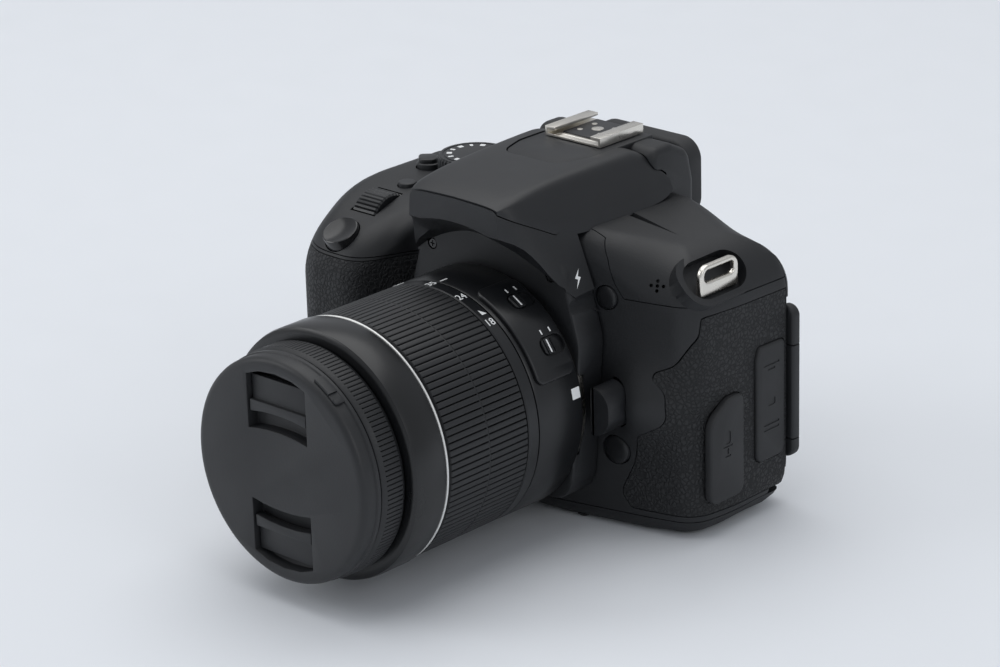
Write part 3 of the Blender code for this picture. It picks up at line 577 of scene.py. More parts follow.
skin_master = body_skin("skin_master", 0.0)
lining_master = body_skin("lining_master", WALL, 120, 14, 12)
bed_master = body_skin("bed_master", RUBBER, 240, 26, 20)
print("skin:", len(skin_master.data.polygons), "triangles")


def copy_of(master, name):
    made = master.copy()
    made.data = master.data.copy()
    made.name = name
    bpy.context.scene.collection.objects.link(made)
    return made

# %% [markdown]
# ## Flash head and the nose under it
# Both are round-shouldered sections that change along the camera. A few listed sections give
# the shape; cutting their corners three times across and twice along gives a smooth skin through them.

# %% Lofted sections
HEAD = [
    (-56.4, 14.2, 93.2, 15.2, 91.6), (-53.0, 15.4, 94.5, 18.4, 89.4), (-46.0, 15.8, 95.6, 20.6, 86.0),
    (-40.0, 16.0, 96.1, 22.0, 82.9), (-34.0, 16.2, 96.4, 22.8, 81.9), (-26.0, 16.5, 96.6, 23.5, 81.7),
    (-12.0, 17.0, 96.8, 24.0, 82.0), (-4.0, 17.4, 96.6, 24.2, 82.4), (0.8, 18.4, 93.2, 24.0, 83.0),
    (4.2, 20.4, 88.8, 23.6, 84.4),
]
NOSE = [
    (-57.0, 14.3, 92.8, 16.0, 85.2), (-51.0, 17.0, 91.5, 20.5, 82.0), (-44.5, 18.3, 90.0, 26.5, 70.0),
    (-34.0, 19.6, 88.0, 31.0, 62.0),
]
PLINTH = [(-12.6, 40.0, 0.5), (-12.6, -17.0, 7.0), (-9.5, -27.2, 5.5), (9.5, -27.2, 5.5),
          (12.6, -17.0, 7.0), (12.6, 40.0, 0.5)]
PLINTH_Z = 96.6


def corners_cut(points, rounds):
    """An open line of points with its corners cut again and again, its ends kept."""
    points = np.array(points, float)
    for _ in range(rounds):
        ahead, behind = points[1:], points[:-1]
        pairs = np.stack([behind * 0.75 + ahead * 0.25, behind * 0.25 + ahead * 0.75], axis=1)
        points = np.concatenate([points[:1], pairs.reshape((-1,) + points.shape[1:])[1:-1], points[-1:]])
    return points


def lofted(name, stations, grow=0.0, rounds=2):
    sections = []
    for place, (y, top, roof, skirt, floor) in enumerate(stations):
        y += grow * ((place == len(stations) - 1) - (place == 0))
        top, skirt, roof, floor = top + grow, skirt + grow, roof + grow, floor - grow
        hip = ((top + skirt) / 2.0 + 0.6, (roof + floor) / 2.0)
        half = [(skirt, floor), hip, (top + 1.1, roof - 0.6), (top - 3.0, roof + 0.1), (0.0, roof + 0.35)]
        half = corners_cut(half, 3)
        section = [(u, y, v) for u, v in half] + [(-u, y, v) for u, v in half[::-1][1:]]
        sections.append(section)
    grid = corners_cut(sections, rounds)
    rows, width = grid.shape[:2]
    faces = [(r * width + i, r * width + (i + 1) % width, (r + 1) * width + (i + 1) % width,
              (r + 1) * width + i) for r in range(rows - 1) for i in range(width)]
    faces += [tuple(range(width))[::-1], tuple(range((rows - 1) * width, rows * width))]
    made = from_points(name, grid.reshape(-1, 3), (), faces)
    return editing(made, lambda: bpy.ops.mesh.quads_convert_to_tris(), outward_all)


def head_room(grow):
    """The space of the closed flash head with grow all round, less the plinth."""
    room = lofted("head_room", HEAD, grow)
    return cut(room, slab("plinth_column", rounded(PLINTH), "z", 60.0, 120.0))


print("head sections:", len(HEAD))

# %% [markdown]
# ## Front, top, base and back covers
# Each cover is the shared skin cut along its seams, then hollowed with the lining. A seam is a
# real gap of a third of a millimetre, so the dark line between covers is geometry and not paint.

# %% Covers
TOP_SEAM = 66.0
BASE_SEAM = 5.0
BACK_SEAM = 9.0
BACK_TOP = 72.0
SEAM = 0.13
FAR = 100.0
SHOULDER_SEAM = [(-29.0, 50.0), (-29.0, 71.0), (-26.0, 84.0), (26.0, 84.0), (31.0, 76.0), (33.5, 69.5),
                 (38.0, 63.0), (38.0, 50.0)]


def grown(outline, amount):
    return [(u + math.copysign(amount, u), v) for u, v in outline]


def shell_of(name):
    return cut(copy_of(skin_master, name), copy_of(lining_master, "lining"))


def about_axis(name, profile, steps=128):
    """Spun about the optical axis; heights are distances in front of the mount."""
    return spun(name, profile, (0.0, FLANGE_Y, AXIS_Z), (0.0, -1.0, 0.0), steps)


def front_cover():
    front = shell_of("front_cover_skin")
    region = slab("region", [(-FAR, BASE_SEAM + SEAM), (FAR, BASE_SEAM + SEAM), (FAR, TOP_SEAM - SEAM),
                             (-FAR, TOP_SEAM - SEAM)], "y", -FAR, BACK_SEAM - SEAM)
    cut(region, slab("brow", SHOULDER_SEAM, "y", -FAR, -29.0), "UNION")
    cut(front, region, "INTERSECT")
    shroud = rounded([(-27, 9, 8), (27, 9, 8), (31, 55, 14), (24, 79.5, 8), (-24, 79.5, 8), (-31, 55, 14)])
    cut(front, slab("shroud", shroud, "y", FLANGE_Y + 0.8, -33.0, 1.0), "UNION")
    nose = lofted("nose", NOSE)
    arch = [(0.0, 70.0), (49.3, 70.0), (49.3, 12.8), (48.6, 12.2), (46.5, 9.0), (43.8, 4.0), (42.2, -0.8),
            (0.0, -0.8)]
    cut(nose, about_axis("arch", arch))
    cut(front, nose, "UNION")
    cut(front, head_room(0.25))
    cut(front, about_axis("throat", [(0, -20), (29.0, -20), (29.0, 16.0), (0, 16.0)]))
    cut(front, about_axis("mount_seat", [(0, -3.2), (31.6, -3.2), (31.6, 0.1), (32.9, 0.2), (32.9, 16.0),
                                         (0, 16.0)]))
    return front


def top_cover():
    top = shell_of("top_cover_skin")
    cut(top, cuboid("below", (-FAR, -FAR, -10), (FAR, FAR, TOP_SEAM + SEAM)))
    cut(top, cuboid("behind", (-FAR, BACK_SEAM - SEAM, -10), (FAR, FAR, BACK_TOP + SEAM)))
    cut(top, slab("brow", grown(SHOULDER_SEAM, 2 * SEAM), "y", -FAR, -29.0 + 2 * SEAM))
    short = [(u, min(v, 9.0), r) for u, v, r in PLINTH]
    cut(top, slab("plinth", rounded(short), "z", 74.0, PLINTH_Z, 0.4), "UNION")
    low = BACK_TOP + SEAM
    hump = rounded([(-1.5, low, 3), (-1.5, 96.2, 3.5), (7, 96.2, 5), (14.5, 92.5, 5), (16.4, 84, 3),
                    (16.4, low, 3)])
    cut(top, slab("hump", hump, "x", -21.0, 21.0, 2.2, 4), "UNION")
    cut(top, head_room(0.25))
    cut(top, lofted("nose_room", NOSE, 0.25))
    cut(top, cuboid("finder_bay", (-10.4, -25.0, 60), (10.4, 4.0, 90.5)))
    cut(top, cuboid("rear_bay", (-19.0, -2.0, 60), (19.0, 14.6, 79.4)))
    cut(top, cuboid("eyepiece_bay", (-11.0, 3.0, 75.5), (11.0, 20.0, 89.0)))
    return top


def base_cover():
    base = shell_of("base_cover_skin")
    return cut(base, cuboid("floor_slice", (-FAR, -FAR, -5), (FAR, FAR, BASE_SEAM - SEAM)), "INTERSECT")


def back_cover():
    back_shell = shell_of("back_cover_skin")
    cut(back_shell, cuboid("back_slice", (-FAR, BACK_SEAM + SEAM, BASE_SEAM + SEAM),
                           (FAR, FAR, BACK_TOP - SEAM)), "INTERSECT")
    x0, y0, z0 = SCREEN_LOW
    x1, y1, z1 = SCREEN_HIGH
    pan = cuboid("pan", (x0 - 2.0, y0 - 1.9, z0 - 0.7), (x1 - 1.0, BACK_SEAM + 0.6, z1 + 2.0))
    cut(back_shell, pan, "UNION")
    bay = rounded([(x0 - CLEAR, z0 - CLEAR, 3), (x1 + CLEAR, z0 - CLEAR, 0.5), (x1 + CLEAR, z1 + CLEAR, 0.5),
                   (x0 - CLEAR, z1 + CLEAR, 3)])
    cut(back_shell, slab("screen_bay", bay, "y", y0 - CLEAR, 40.0))
    cut(back_shell, cuboid("hinge_bay", (x1 - 1.0, BACK_SEAM - 3.0, z0 - CLEAR), (FAR, 40.0, z1 + CLEAR)))
    return back_shell


CLEAR = 0.3
SCREEN_LOW = (-17.5, 5.3, 6.0)
SCREEN_HIGH = (55.0, 12.9, 60.0)
front = front_cover()
x0, y0, z0 = SCREEN_LOW
x1, y1, z1 = SCREEN_HIGH
cut(front, cuboid("pan_room", (x0 - 2.3, y0 - 2.2, z0 - 1.0), (x1 + 0.9, BACK_SEAM + 0.9, z1 + 2.3)))
cut(front, cuboid("hinge_room", (40.0, y0 - 2.5, 0.0), (80.0, 20.0, z0 + 5.5)))
cut(front, cuboid("back_foot_room", (-60.0, 8.0, 0.0), (50.0, 20.0, 7.5)))
top = top_cover()
base = base_cover()
back_piece = back_cover()
print("front cover:", len(front.data.polygons), "faces; top cover:", len(top.data.polygons))

# %% [markdown]
# ## Rubber skins
# The grip and the terminal side wear a leather-grained skin let into a pocket. The skin is the
# outer skin less a bed a little deeper, kept inside its outline; the pocket is cut with a margin.

# %% Grip and side rubber
GRIP_OUTLINE = [(-80.0, 8.5), (-33.0, 8.5), (-31.5, 65.0), (-80.0, 65.0)]
GRIP_POCKET = [(-80.0, 8.25), (-32.75, 8.25), (-31.25, 65.25), (-80.0, 65.25)]


def side_outline(grow):
    g = grow
    return rounded([
        (56.0 - g, 63.0 + g, 1.0), (55.6 - g, 57.5 + g, 4.0), (51.0 - g, 49.6 + g, 6.0),
        (44.4 - g, 46.6 + g, 1.5), (49.6 - g, 42.5, 5.0), (50.2 - g, 34.0, 5.0), (41.0 - g, 28.6, 3.0),
        (38.8 - g, 20.0, 6.0), (34.6 - g, 11.0, 3.5), (37.5, 7.0 - g, 2.0),
        (70.0, 7.0 - g, 0.5), (70.0, 63.0 + g, 0.5)], 10.0)


def rubber_skin(name, outline, near, far):
    skin = cut(copy_of(skin_master, name), copy_of(bed_master, "bed"))
    return cut(skin, slab("keep", outline, "y", near, far), "INTERSECT")


def rubber_pocket(cover, outline, near, far):
    pocket = slab("pocket", outline, "y", near, far)
    cut(pocket, copy_of(deep_bed, "bed"))
    return cut(cover, pocket)


deep_bed = body_skin("deep_bed", RUBBER + 0.25)
rubber_pocket(front, GRIP_POCKET, -70.0, -19.7)
rubber_pocket(front, side_outline(0.25), -70.0, 8.7)
grip_skin = rubber_skin("grip_rubber_skin", GRIP_OUTLINE, -70.0, -20.0)
side_skin = rubber_skin("side_rubber_skin", side_outline(0.0), -70.0, 8.4)
bpy.data.objects.remove(deep_bed)
print("grip rubber:", len(grip_skin.data.polygons), "faces; side:", len(side_skin.data.polygons))

# %% [markdown]
# ## Lens barrel
# Every ring of the lens is a profile spun about the optical axis. Heights are distances in front
# of the mount. Marks and the switch panel are made flat and then rolled onto the barrel; the panel
# is first sliced into strips so that it can bend.

# %% Rings and rolled parts
BARREL_RADIUS = 33.8


def sliced(thing, axis, step):
    """Cut the mesh into strips across an axis (0, 1 or 2), so that it can bend."""
    low = min(v.co[axis] for v in thing.data.vertices)
    high = max(v.co[axis] for v in thing.data.vertices)
    normal = [0.0, 0.0, 0.0]
    normal[axis] = 1.0
    place = low + step * MM
    while place < high - 0.1 * MM:
        point = [0.0, 0.0, 0.0]
        point[axis] = place
        editing(thing, lambda: bpy.ops.mesh.bisect(plane_co=point, plane_no=normal))
        place += step * MM
    return thing


def rolled(thing, radius, degrees, forward):
    """Roll a flat part onto the lens: its x runs round the barrel, its y to the mount, z outwards."""
    for vertex in thing.data.vertices:
        angle = math.radians(degrees) + vertex.co.x / (radius * MM)
        reach = radius * MM + vertex.co.z
        along = (FLANGE_Y - forward) * MM + vertex.co.y
        vertex.co = (reach * math.sin(angle), along, AXIS_Z * MM + reach * math.cos(angle))
    return thing


def lettering(name, words, height, depth, spin=0.0):
    """Solid characters lying flat at the origin, turned about Z by spin degrees."""
    bpy.ops.object.select_all(action="DESELECT")
    bpy.ops.object.text_add()
    made = bpy.context.object
    made.data.body = words
    made.data.size = height * 1.38 * MM
    made.data.extrude = depth * 0.5 * MM
    made.data.align_x = "CENTER"
    made.data.align_y = "CENTER"
    made.data.resolution_u = 4
    bpy.ops.object.convert(target="MESH")
    made.data.transform(Matrix.Rotation(math.radians(spin), 4, "Z"))
    made.name = name
    editing(made, outward_all)
    return made


def joined(name, parts):
    """Several small marks become one piece."""
    only(parts[0])
    for part in parts:
        part.select_set(True)
    if len(parts) > 1:
        bpy.ops.object.join()
    parts[0].name = name
    return parts[0]


def lens_barrel():
    barrel = about_axis("lens_barrel_rear", [
        (26.0, 0.3), (32.2, 0.3), (33.3, 0.8), (33.9, 1.8), (33.85, 10.0), (33.75, 17.2), (33.5, 17.75),
        (31.7, 17.75), (31.7, 49.9), (30.2, 49.9), (30.2, 12.0), (26.0, 8.0)], 192)
    return hand_over(barrel, "lens_barrel_rear", "barrel", stands_for=["lens_barrel"])


def switch_panel():
    pad = slab("switch_panel", panel(-15.4, -7.3, 15.4, 7.2, 2.6), "z", 0.0, 1.45, 0.5, 3)
    for place in SWITCH_PLACES:
        window = panel(place - 2.6, -1.9, place + 2.6, 6.5, 2.2)
        cut(pad, slab("window", window, "z", 0.5, 3.0))
    sliced(pad, 0, 1.2)
    rolled(pad, BARREL_RADIUS - 0.15, PANEL_ANGLE, 9.4)
    return hand_over(pad, "lens_switch_panel", "barrel")


def switch_marks():
    parts = []
    for place in SWITCH_PLACES:
        for along in (0.8, 4.0):
            tick = panel(place - 4.6, along - 0.22, place - 3.3, along + 0.22, 0.1)
            parts.append(slab("tick", tick, "z", 1.45, 1.49))
    marks = joined("switch_marks", parts)
    rolled(marks, BARREL_RADIUS - 0.15, PANEL_ANGLE, 9.4)
    return hand_over(marks, "switch_marks", "white")


PANEL_ANGLE = 43.5
ARC_PER_DEGREE = math.radians(1.0) * BARREL_RADIUS
SWITCH_PLACES = [(31.0 - PANEL_ANGLE) * ARC_PER_DEGREE, (55.0 - PANEL_ANGLE) * ARC_PER_DEGREE]
lens_barrel()
switch_panel()
switch_marks()


def slide_switch(name, degrees):
    """Ribbed thumb slide with a white line down its middle."""
    knob = slab(name, panel(-2.1, -2.0, 2.1, 2.0, 1.2), "z", 0.85, 2.0, 0.25, 2)
    for along in (-1.2, 1.2):
        cut(knob, cuboid("groove", (-3.0, along - 0.25, 1.7), (3.0, along + 0.25, 3.0)))
    line = slab("line", panel(-1.7, -0.22, 1.7, 0.22, 0.1), "z", 2.0, 2.04)
    rolled(knob, BARREL_RADIUS - 0.3, degrees, 8.6)
    rolled(line, BARREL_RADIUS - 0.3, degrees, 8.6)
    hand_over(knob, name + "_knob", "button", name, [name])
    hand_over(line, name + "_line", "white", name)


slide_switch("focus_mode_switch", 31.0)
slide_switch("stabiliser_switch", 55.0)
print("lens barrel, panel and switches made")

# %% [markdown]
# ## Zoom ring
# The rubber has long ribs along the lens, in two rows with a narrow break between them.
# A spun sleeve gives the shape, and its points are lifted where a rib stands. The smooth strip
# behind it carries the focal lengths.

# %% Zoom ring
RIBS = 116
RIB_ROWS = [(22.5, 36.6), (36.9, 51.1)]
RIB_LIFT = 0.7
BETWEEN_ROWS = 0.8
FOCUS_TEETH = 150


def ribbed_sleeve(name, rows, ribs, inner, outer, lift, start, end):
    """A closed sleeve whose outside carries ribs; each row of ribs is (from, to) along the lens."""
    columns = ribs * 8
    stations = [(start, None), (start + 0.3, None)]
    for index, (near, far) in enumerate(rows):
        stations += [(near, None), (near + 0.12, index), (far - 0.12, index), (far, None)]
    stations += [(end - 0.3, None), (end, None)]
    profile = [0.0, 0.9, 1.0, 1.0, 1.0, 1.0, 1.0, 0.9]
    points = []
    for place, (distance, row) in enumerate(stations):
        eased = outer - (0.3 if place in (0, len(stations) - 1) else 0.0)
        valley = place not in (0, 1, len(stations) - 2, len(stations) - 1)
        for column in range(columns):
            angle = 2.0 * math.pi * column / columns
            if row is None:
                raised = BETWEEN_ROWS * lift if valley else 0.0
            else:
                raised = lift * profile[column % 8]
            reach = eased + raised
            points.append((reach * math.sin(angle), FLANGE_Y - distance, AXIS_Z + reach * math.cos(angle)))
    for distance in (end, start):
        for column in range(columns):
            angle = 2.0 * math.pi * column / columns
            points.append((inner * math.sin(angle), FLANGE_Y - distance, AXIS_Z + inner * math.cos(angle)))
    loops = len(stations) + 2
    faces = [(r * columns + c, r * columns + (c + 1) % columns,
              ((r + 1) % loops) * columns + (c + 1) % columns, ((r + 1) % loops) * columns + c)
             for r in range(loops) for c in range(columns)]
    return editing(from_points(name, points, (), faces), outward_all)


zoom_rubber = ribbed_sleeve("zoom_ring_rubber", RIB_ROWS, RIBS, 32.0, 33.0, RIB_LIFT, 22.0, 51.6)
hand_over(zoom_rubber, "zoom_ring_rubber", "ribs", "zoom_ring", ["zoom_ring"], angle=30.0)
zoom_collar = about_axis("zoom_ring_collar", [(31.95, 18.05), (33.4, 18.05), (33.7, 18.4), (33.7, 21.6),
                                              (33.4, 21.95), (31.95, 21.95)], 192)
hand_over(zoom_collar, "zoom_ring_collar", "barrel", "zoom_ring")
front_band = about_axis("zoom_ring_front_band", [
    (30.3, 51.65), (33.35, 51.65), (33.5, 51.8), (33.5, 52.25), (33.7, 53.05), (34.2, 54.2), (34.2, 62.8),
    (33.9, 63.9), (33.2, 64.4), (32.2, 64.5), (30.3, 64.5)], 192)
hand_over(front_band, "zoom_ring_front_band", "band", "zoom_ring")
silver = about_axis("silver_trim_ring", [
    (33.3, 52.35), (33.8, 52.35), (33.95, 52.5), (33.98, 52.8), (33.85, 52.95), (33.3, 52.95)], 192)
hand_over(silver, "silver_trim_ring", "silver", "zoom_ring", angle=60.0)


def focal_marks():
    parts = []
    for words, degrees in (("18", 34.5), ("24", 15.5), ("35", -3.0), ("55", -24.0)):
        number = lettering("number", words, 2.3, 0.16, 90.0)
        parts.append(rolled(number, 33.7, degrees, 20.1))
    flag = slab("flag", [(-0.9, -0.8), (0.9, -0.8), (0.9, 0.9)], "z", 0.0, 0.08)
    parts.append(rolled(flag, 33.7, 28.0, 19.6))
    return hand_over(joined("focal_length_marks", parts), "focal_length_marks", "white", "zoom_ring")


def barrel_marks():
    line = rolled(slab("line", panel(-0.22, -1.3, 0.22, 1.3, 0.1), "z", 0.0, 0.07), 33.75, -2.0, 16.0)
    index = rolled(slab("index", panel(-1.5, -1.5, 1.5, 1.5, 0.15), "z", 0.0, 0.08), 33.86, 79.0, 3.3)
    return hand_over(joined("lens_index_marks", [line, index]), "lens_index_marks", "white")


focal_marks()
barrel_marks()
print("zoom ring ribs:", RIBS * len(RIB_ROWS))

# %% [markdown]
# ## Focus ring, inner tube and front glass
# A narrow ring of fine teeth in front of the band turns the focus. It rides on the inner tube,
# which comes forward as the zoom ring is turned.

# %% Focus ring
focus = ribbed_sleeve("focus_ring_teeth", [(66.0, 71.6)], FOCUS_TEETH, 24.3, 30.65, 0.45, 64.8, 72.95)
hand_over(focus, "focus_ring_teeth", "ribs", "focus_ring", ["focus_ring"], angle=30.0)
tube = about_axis("inner_tube", [(24.0, 20.0), (29.6, 20.0), (29.6, 64.3), (29.4, 64.5), (24.0, 64.5)], 160)
hand_over(tube, "inner_tube", "barrel", "inner_barrel", ["inner_barrel"])
glass = about_axis("front_glass", [(0.0, 64.9), (24.0, 64.9), (24.0, 66.4), (20.0, 68.6), (15.0, 70.0),
                                   (8.0, 70.9), (0.0, 71.2)], 96)
hand_over(glass, "front_glass", "glass", "focus_ring", ["front_lens_element"])
print("focus ring teeth:", FOCUS_TEETH)

# %% [markdown]
# ## Cap with centre pinch
# A thick disc with a stepped rim. Two pockets cut in from above and below leave a bar across the
# middle; in each sits the catch that the fingers pinch. A short hook on the rim takes a string.

# %% Cap
CAP_FACE = 79.2


def pocket_outline(side):
    """Seen from the front: straight sides, and an inner edge that bows a little outwards."""
    near = [(10.6, 9.7), (7.0, 10.35), (3.5, 10.7), (0.0, 10.8), (-3.5, 10.7), (-7.0, 10.35), (-10.6, 9.7)]
    rim = [(-10.6, 24.4), (-6.0, 26.0), (0.0, 26.6), (6.0, 26.0), (10.6, 24.4)]
    return [(u, AXIS_Z + side * v) for u, v in near + rim]


def catch_outline(side, inner, outer):
    near = [(10.1, inner - 0.9), (5.0, inner - 0.2), (0.0, inner), (-5.0, inner - 0.2), (-10.1, inner - 0.9)]
    far = [(-10.1, outer), (10.1, outer)]
    return [(u, AXIS_Z + side * v) for u, v in near + far]


def lens_cap():
    cap = about_axis("cap_disc", [
        (0.0, 74.8), (29.0, 74.8), (29.0, 73.35), (30.5, 73.35), (30.7, 73.6), (30.7, 74.6), (30.35, 74.9),
        (30.35, 77.6), (30.1, 78.3), (29.5, 78.9), (28.8, 79.12), (28.0, CAP_FACE), (0.0, CAP_FACE)], 192)
    face = FLANGE_Y - CAP_FACE
    for side in (1.0, -1.0):
        cut(cap, slab("pocket", pocket_outline(side), "y", face - 2.0, face + 3.4))
    editing(cap, lambda: bpy.ops.mesh.dissolve_limited(angle_limit=math.radians(0.4)))
    soft_edges(cap, 0.22, 2, 60.0)
    return hand_over(cap, "cap_disc", "cap", "lens_cap", ["lens_cap"], angle=32.0)


def cap_catch(name, side):
    face = FLANGE_Y - CAP_FACE
    plate = slab(name, catch_outline(side, 15.2, 24.2), "y", face + 1.5, face + 3.1)
    bar = slab("bar", catch_outline(side, 15.2, 17.6), "y", face + 0.35, face + 2.0)
    cut(plate, bar, "UNION")
    soft_edges(plate, 0.3, 2, 50.0)
    return hand_over(plate, name + "_plate", "cap", name, [name], angle=32.0)


def cap_hook():
    block = slab("cap_hook", panel(-4.6, -1.6, 4.6, 1.6, 0.8), "z", 0.0, 0.9, 0.3, 2)
    cut(block, cuboid("slot", (1.2, -3.0, 0.35), (3.0, 3.0, 3.0)))
    sliced(block, 0, 1.2)
    rolled(block, 30.3, 33.0, 76.3)
    return hand_over(block, "cap_hook", "cap", "lens_cap")


lens_cap()
cap_catch("cap_upper_catch", 1.0)
cap_catch("cap_lower_catch", -1.0)
cap_hook()
print("cap made, 2 catches")

# %% [markdown]
# ## Flash lid
# The lid is the lofted head, with the plinth's tongue cut out of its top and the flash tube's room
# cut out from below. It rides the flash body, so the hollow shows when it lifts.

# %% Flash lid
def flash_lid():
    lid = lofted("flash_lid", HEAD)
    cut(lid, cuboid("tube_room", (-14.2, -53.5, 70.0), (14.2, -30.0, 92.0)))
    cut(lid, slab("tongue", widened(rounded(PLINTH), 0.25, 300), "z", 60.0, 120.0))
    for side in (-1.0, 1.0):
        near, far = sorted((side * 13.8, side * 18.2))
        cut(lid, cuboid("arm_room", (near, -26.0, 70.0), (far, -8.0, 90.0)))
    return hand_over(lid, "flash_lid", "lid", "flash", ["flash_head"], angle=40.0)


def flash_tube():
    """Frosted window with upright ridges."""
    window = cuboid("flash_tube_window", (-13.8, -52.4, 89.2), (13.8, -51.4, 91.8), 0.2)
    for k in range(17):
        cut(window, cuboid("ridge", (-12.9 + 1.55 * k, -52.6, 89.5), (-12.3 + 1.55 * k, -52.2, 91.5)))
    return hand_over(window, "flash_tube_window", "white", "flash", ["flash_window"])


flash_lid()
flash_tube()
print("flash lid made")

# %% [markdown]
# ## Accessory shoe
# Folded steel: a floor, two walls and two lips. A black plate with small contacts fills the floor.

# %% Accessory shoe
SHOE_TOP = 99.5


def accessory_shoe():
    rails = [(-9.9, PLINTH_Z + 0.25), (9.9, PLINTH_Z + 0.25), (9.9, SHOE_TOP), (6.4, SHOE_TOP),
             (6.4, SHOE_TOP - 0.8), (9.1, SHOE_TOP - 0.8), (9.1, PLINTH_Z + 0.9), (-9.1, PLINTH_Z + 0.9),
             (-9.1, SHOE_TOP - 0.8), (-6.4, SHOE_TOP - 0.8), (-6.4, SHOE_TOP), (-9.9, SHOE_TOP)]
    shoe = slab("accessory_shoe", rails, "y", -9.7, 8.0)
    cut(shoe, cuboid("front_lip_gap", (-6.4, -12.0, PLINTH_Z + 0.8), (6.4, -7.6, 110.0)))
    soft_edges(shoe, 0.22, 3, 50.0)
    return hand_over(shoe, "accessory_shoe", "steel", stands_for=["hot_shoe"])


def shoe_contacts():
    plate = cuboid("shoe_contact_plate", (-6.2, -6.6, PLINTH_Z + 0.85), (6.2, 7.4, PLINTH_Z + 1.25), 0.12)
    hand_over(plate, "shoe_contact_plate", "button")
    pads = [disc("contact", 1.7, 0.0, 0.12, (0.0, 0.6, PLINTH_Z + 1.25), (0, 0, 1), 0.05)]
    for u, v in ((-3.6, 3.4), (3.6, 3.4), (-3.6, -2.6), (3.6, -2.6)):
        pads.append(disc("contact", 0.8, 0.0, 0.12, (u, v, PLINTH_Z + 1.25), (0, 0, 1), 0.05, 24))
    hand_over(joined("shoe_contacts", pads), "shoe_contacts", "steel")


accessory_shoe()
shoe_contacts()
print("shoe and its contacts made")

# %% [markdown]
# ## Strap loops in their oval hollows
# Each shoulder has an oval hollow, cut square to the sloping skin, with a polished loop standing
# in it. The thin cover needs a thick patch behind the hollow, so that is added first.

# %% Strap loops
def tilted(thing, centre, degrees):
    """Turn a part made about the origin, then carry it to its place."""
    spin = Matrix.Rotation(math.radians(degrees), 4, "Y")
    thing.data.transform(Matrix.Translation(Vector(centre) * MM) @ spin)
    return thing


def strap_hollow(cover, centre, lean):
    patch = slab("patch", panel(-7.4, -12.5, 7.4, 12.5, 6.5), "z", -6.0, -1.6)
    cut(cover, tilted(patch, centre, lean), "UNION")
    hollow = slab("hollow", panel(-5.6, -10.6, 5.6, 10.6, 5.4), "z", -4.0, 14.0)
    cut(cover, tilted(hollow, centre, lean))


def strap_loop(name, x, y0, y1):
    outer = rounded([(y0, 67.6, 0.6), (y0, 76.2, 3.2), (y1, 76.2, 3.2), (y1, 67.6, 0.6)])
    loop = slab(name, outer, "x", x - 0.9, x + 0.9)
    cut(loop, slab("eye", panel(y0 + 1.7, 71.4, y1 - 1.7, 74.8, 1.5), "x", x - 5.0, x + 5.0))
    soft_edges(loop, 0.55, 4, 50.0)
    return hand_over(loop, name + "_loop", "steel", stands_for=[name], angle=50.0)


strap_hollow(top, (53.9, -14.25, 72.7), 45.0)
strap_hollow(top, (-66.2, -9.25, 73.6), -52.0)
strap_loop("strap_lug_terminal_side", 54.0, -22.0, -6.5)
strap_loop("strap_lug_grip_side", -64.5, -17.0, -1.5)
print("strap loops made")

# %% [markdown]
# ## Buttons and dials
# A push button is a disc in a clear hole with an eased rim, sometimes dished. The hole is cut in
# the cover first, so that the button can sink into it.

# %% Push buttons
def push_button(node, covers, centre, direction, radius, proud, deep, look="button", dish=0.0, room=0.28):
    for cover in covers:
        cut(cover, disc("hole", radius + room, -deep - 3.5, 12.0, centre, direction, 0.01, 48))
    rim = [(radius, proud - 0.45), (radius - 0.12, proud - 0.15), (radius - 0.4, proud)]
    crown = [(radius * 0.7, proud - dish * 0.5), (radius * 0.35, proud - dish * 0.9), (0.0, proud - dish)]
    made = spun(node + "_cap", [(0.0, -deep), (radius, -deep)] + rim + crown, centre, direction, 48)
    return hand_over(made, node + "_cap", look, node, [node])


SHUTTER_LEAN = math.radians(28.0)
SHUTTER_AXIS = (0.0, -math.sin(SHUTTER_LEAN), math.cos(SHUTTER_LEAN))
push_button("shutter_button", [top, front], (-50.3, -48.8, 70.3), SHUTTER_AXIS, 5.2, 1.6, 2.2, "gloss", 0.7)
push_button("iso_button", [top], (-48.5, -24.5, 78.6), (0, 0, 1), 2.6, 0.9, 2.2)
push_button("display_button", [top], (-33.5, -28.0, 78.8), (0, 0, 1), 2.6, 0.9, 3.4)
for node, x, z, radius in (("flash_button", 31.0, 65.6, 3.2), ("depth_preview_button", 33.5, 23.0, 4.0)):
    met, place, slope, face = front.ray_cast((x * MM, -0.1, z * MM), (0, 1, 0))
    print(node, "meets the cover at", [round(v / MM, 1) for v in place])
    push_button(node, [front], (x, place.y / MM + 0.1, z), (0, -1, 0), radius, 0.5, 1.6, "button", -0.3)
print("front and top buttons made")


# %% Dials
def knurled(name, teeth, radius, depth, low, high, centre, direction, edge=0.5):
    """A wheel whose rim is cut by narrow grooves, made by moving one point in every four inwards."""
    columns = teeth * 4
    levels = [(low, -edge), (low + edge, 0.0), (high - edge, 0.0), (high, -edge)]
    points = []
    for height, ease in levels:
        for c in range(columns):
            angle = 2.0 * math.pi * c / columns
            reach = radius + ease - (depth if c % 4 == 0 and ease == 0.0 else 0.0)
            points.append((reach * math.cos(angle), reach * math.sin(angle), height))
    faces = [(r * columns + c, r * columns + (c + 1) % columns, (r + 1) * columns + (c + 1) % columns,
              (r + 1) * columns + c) for r in range(3) for c in range(columns)]
    faces += [tuple(range(columns))[::-1], tuple(range(3 * columns, 4 * columns))]
    made = editing(from_points(name, points, (), faces), outward_all)
    tilt = Vector((0, 0, 1)).rotation_difference(Vector(direction)).to_matrix().to_4x4()
    made.data.transform(Matrix.Translation(Vector(centre) * MM) @ tilt)
    return made


DIAL_AT = (-38.0, -8.0, 0.0)


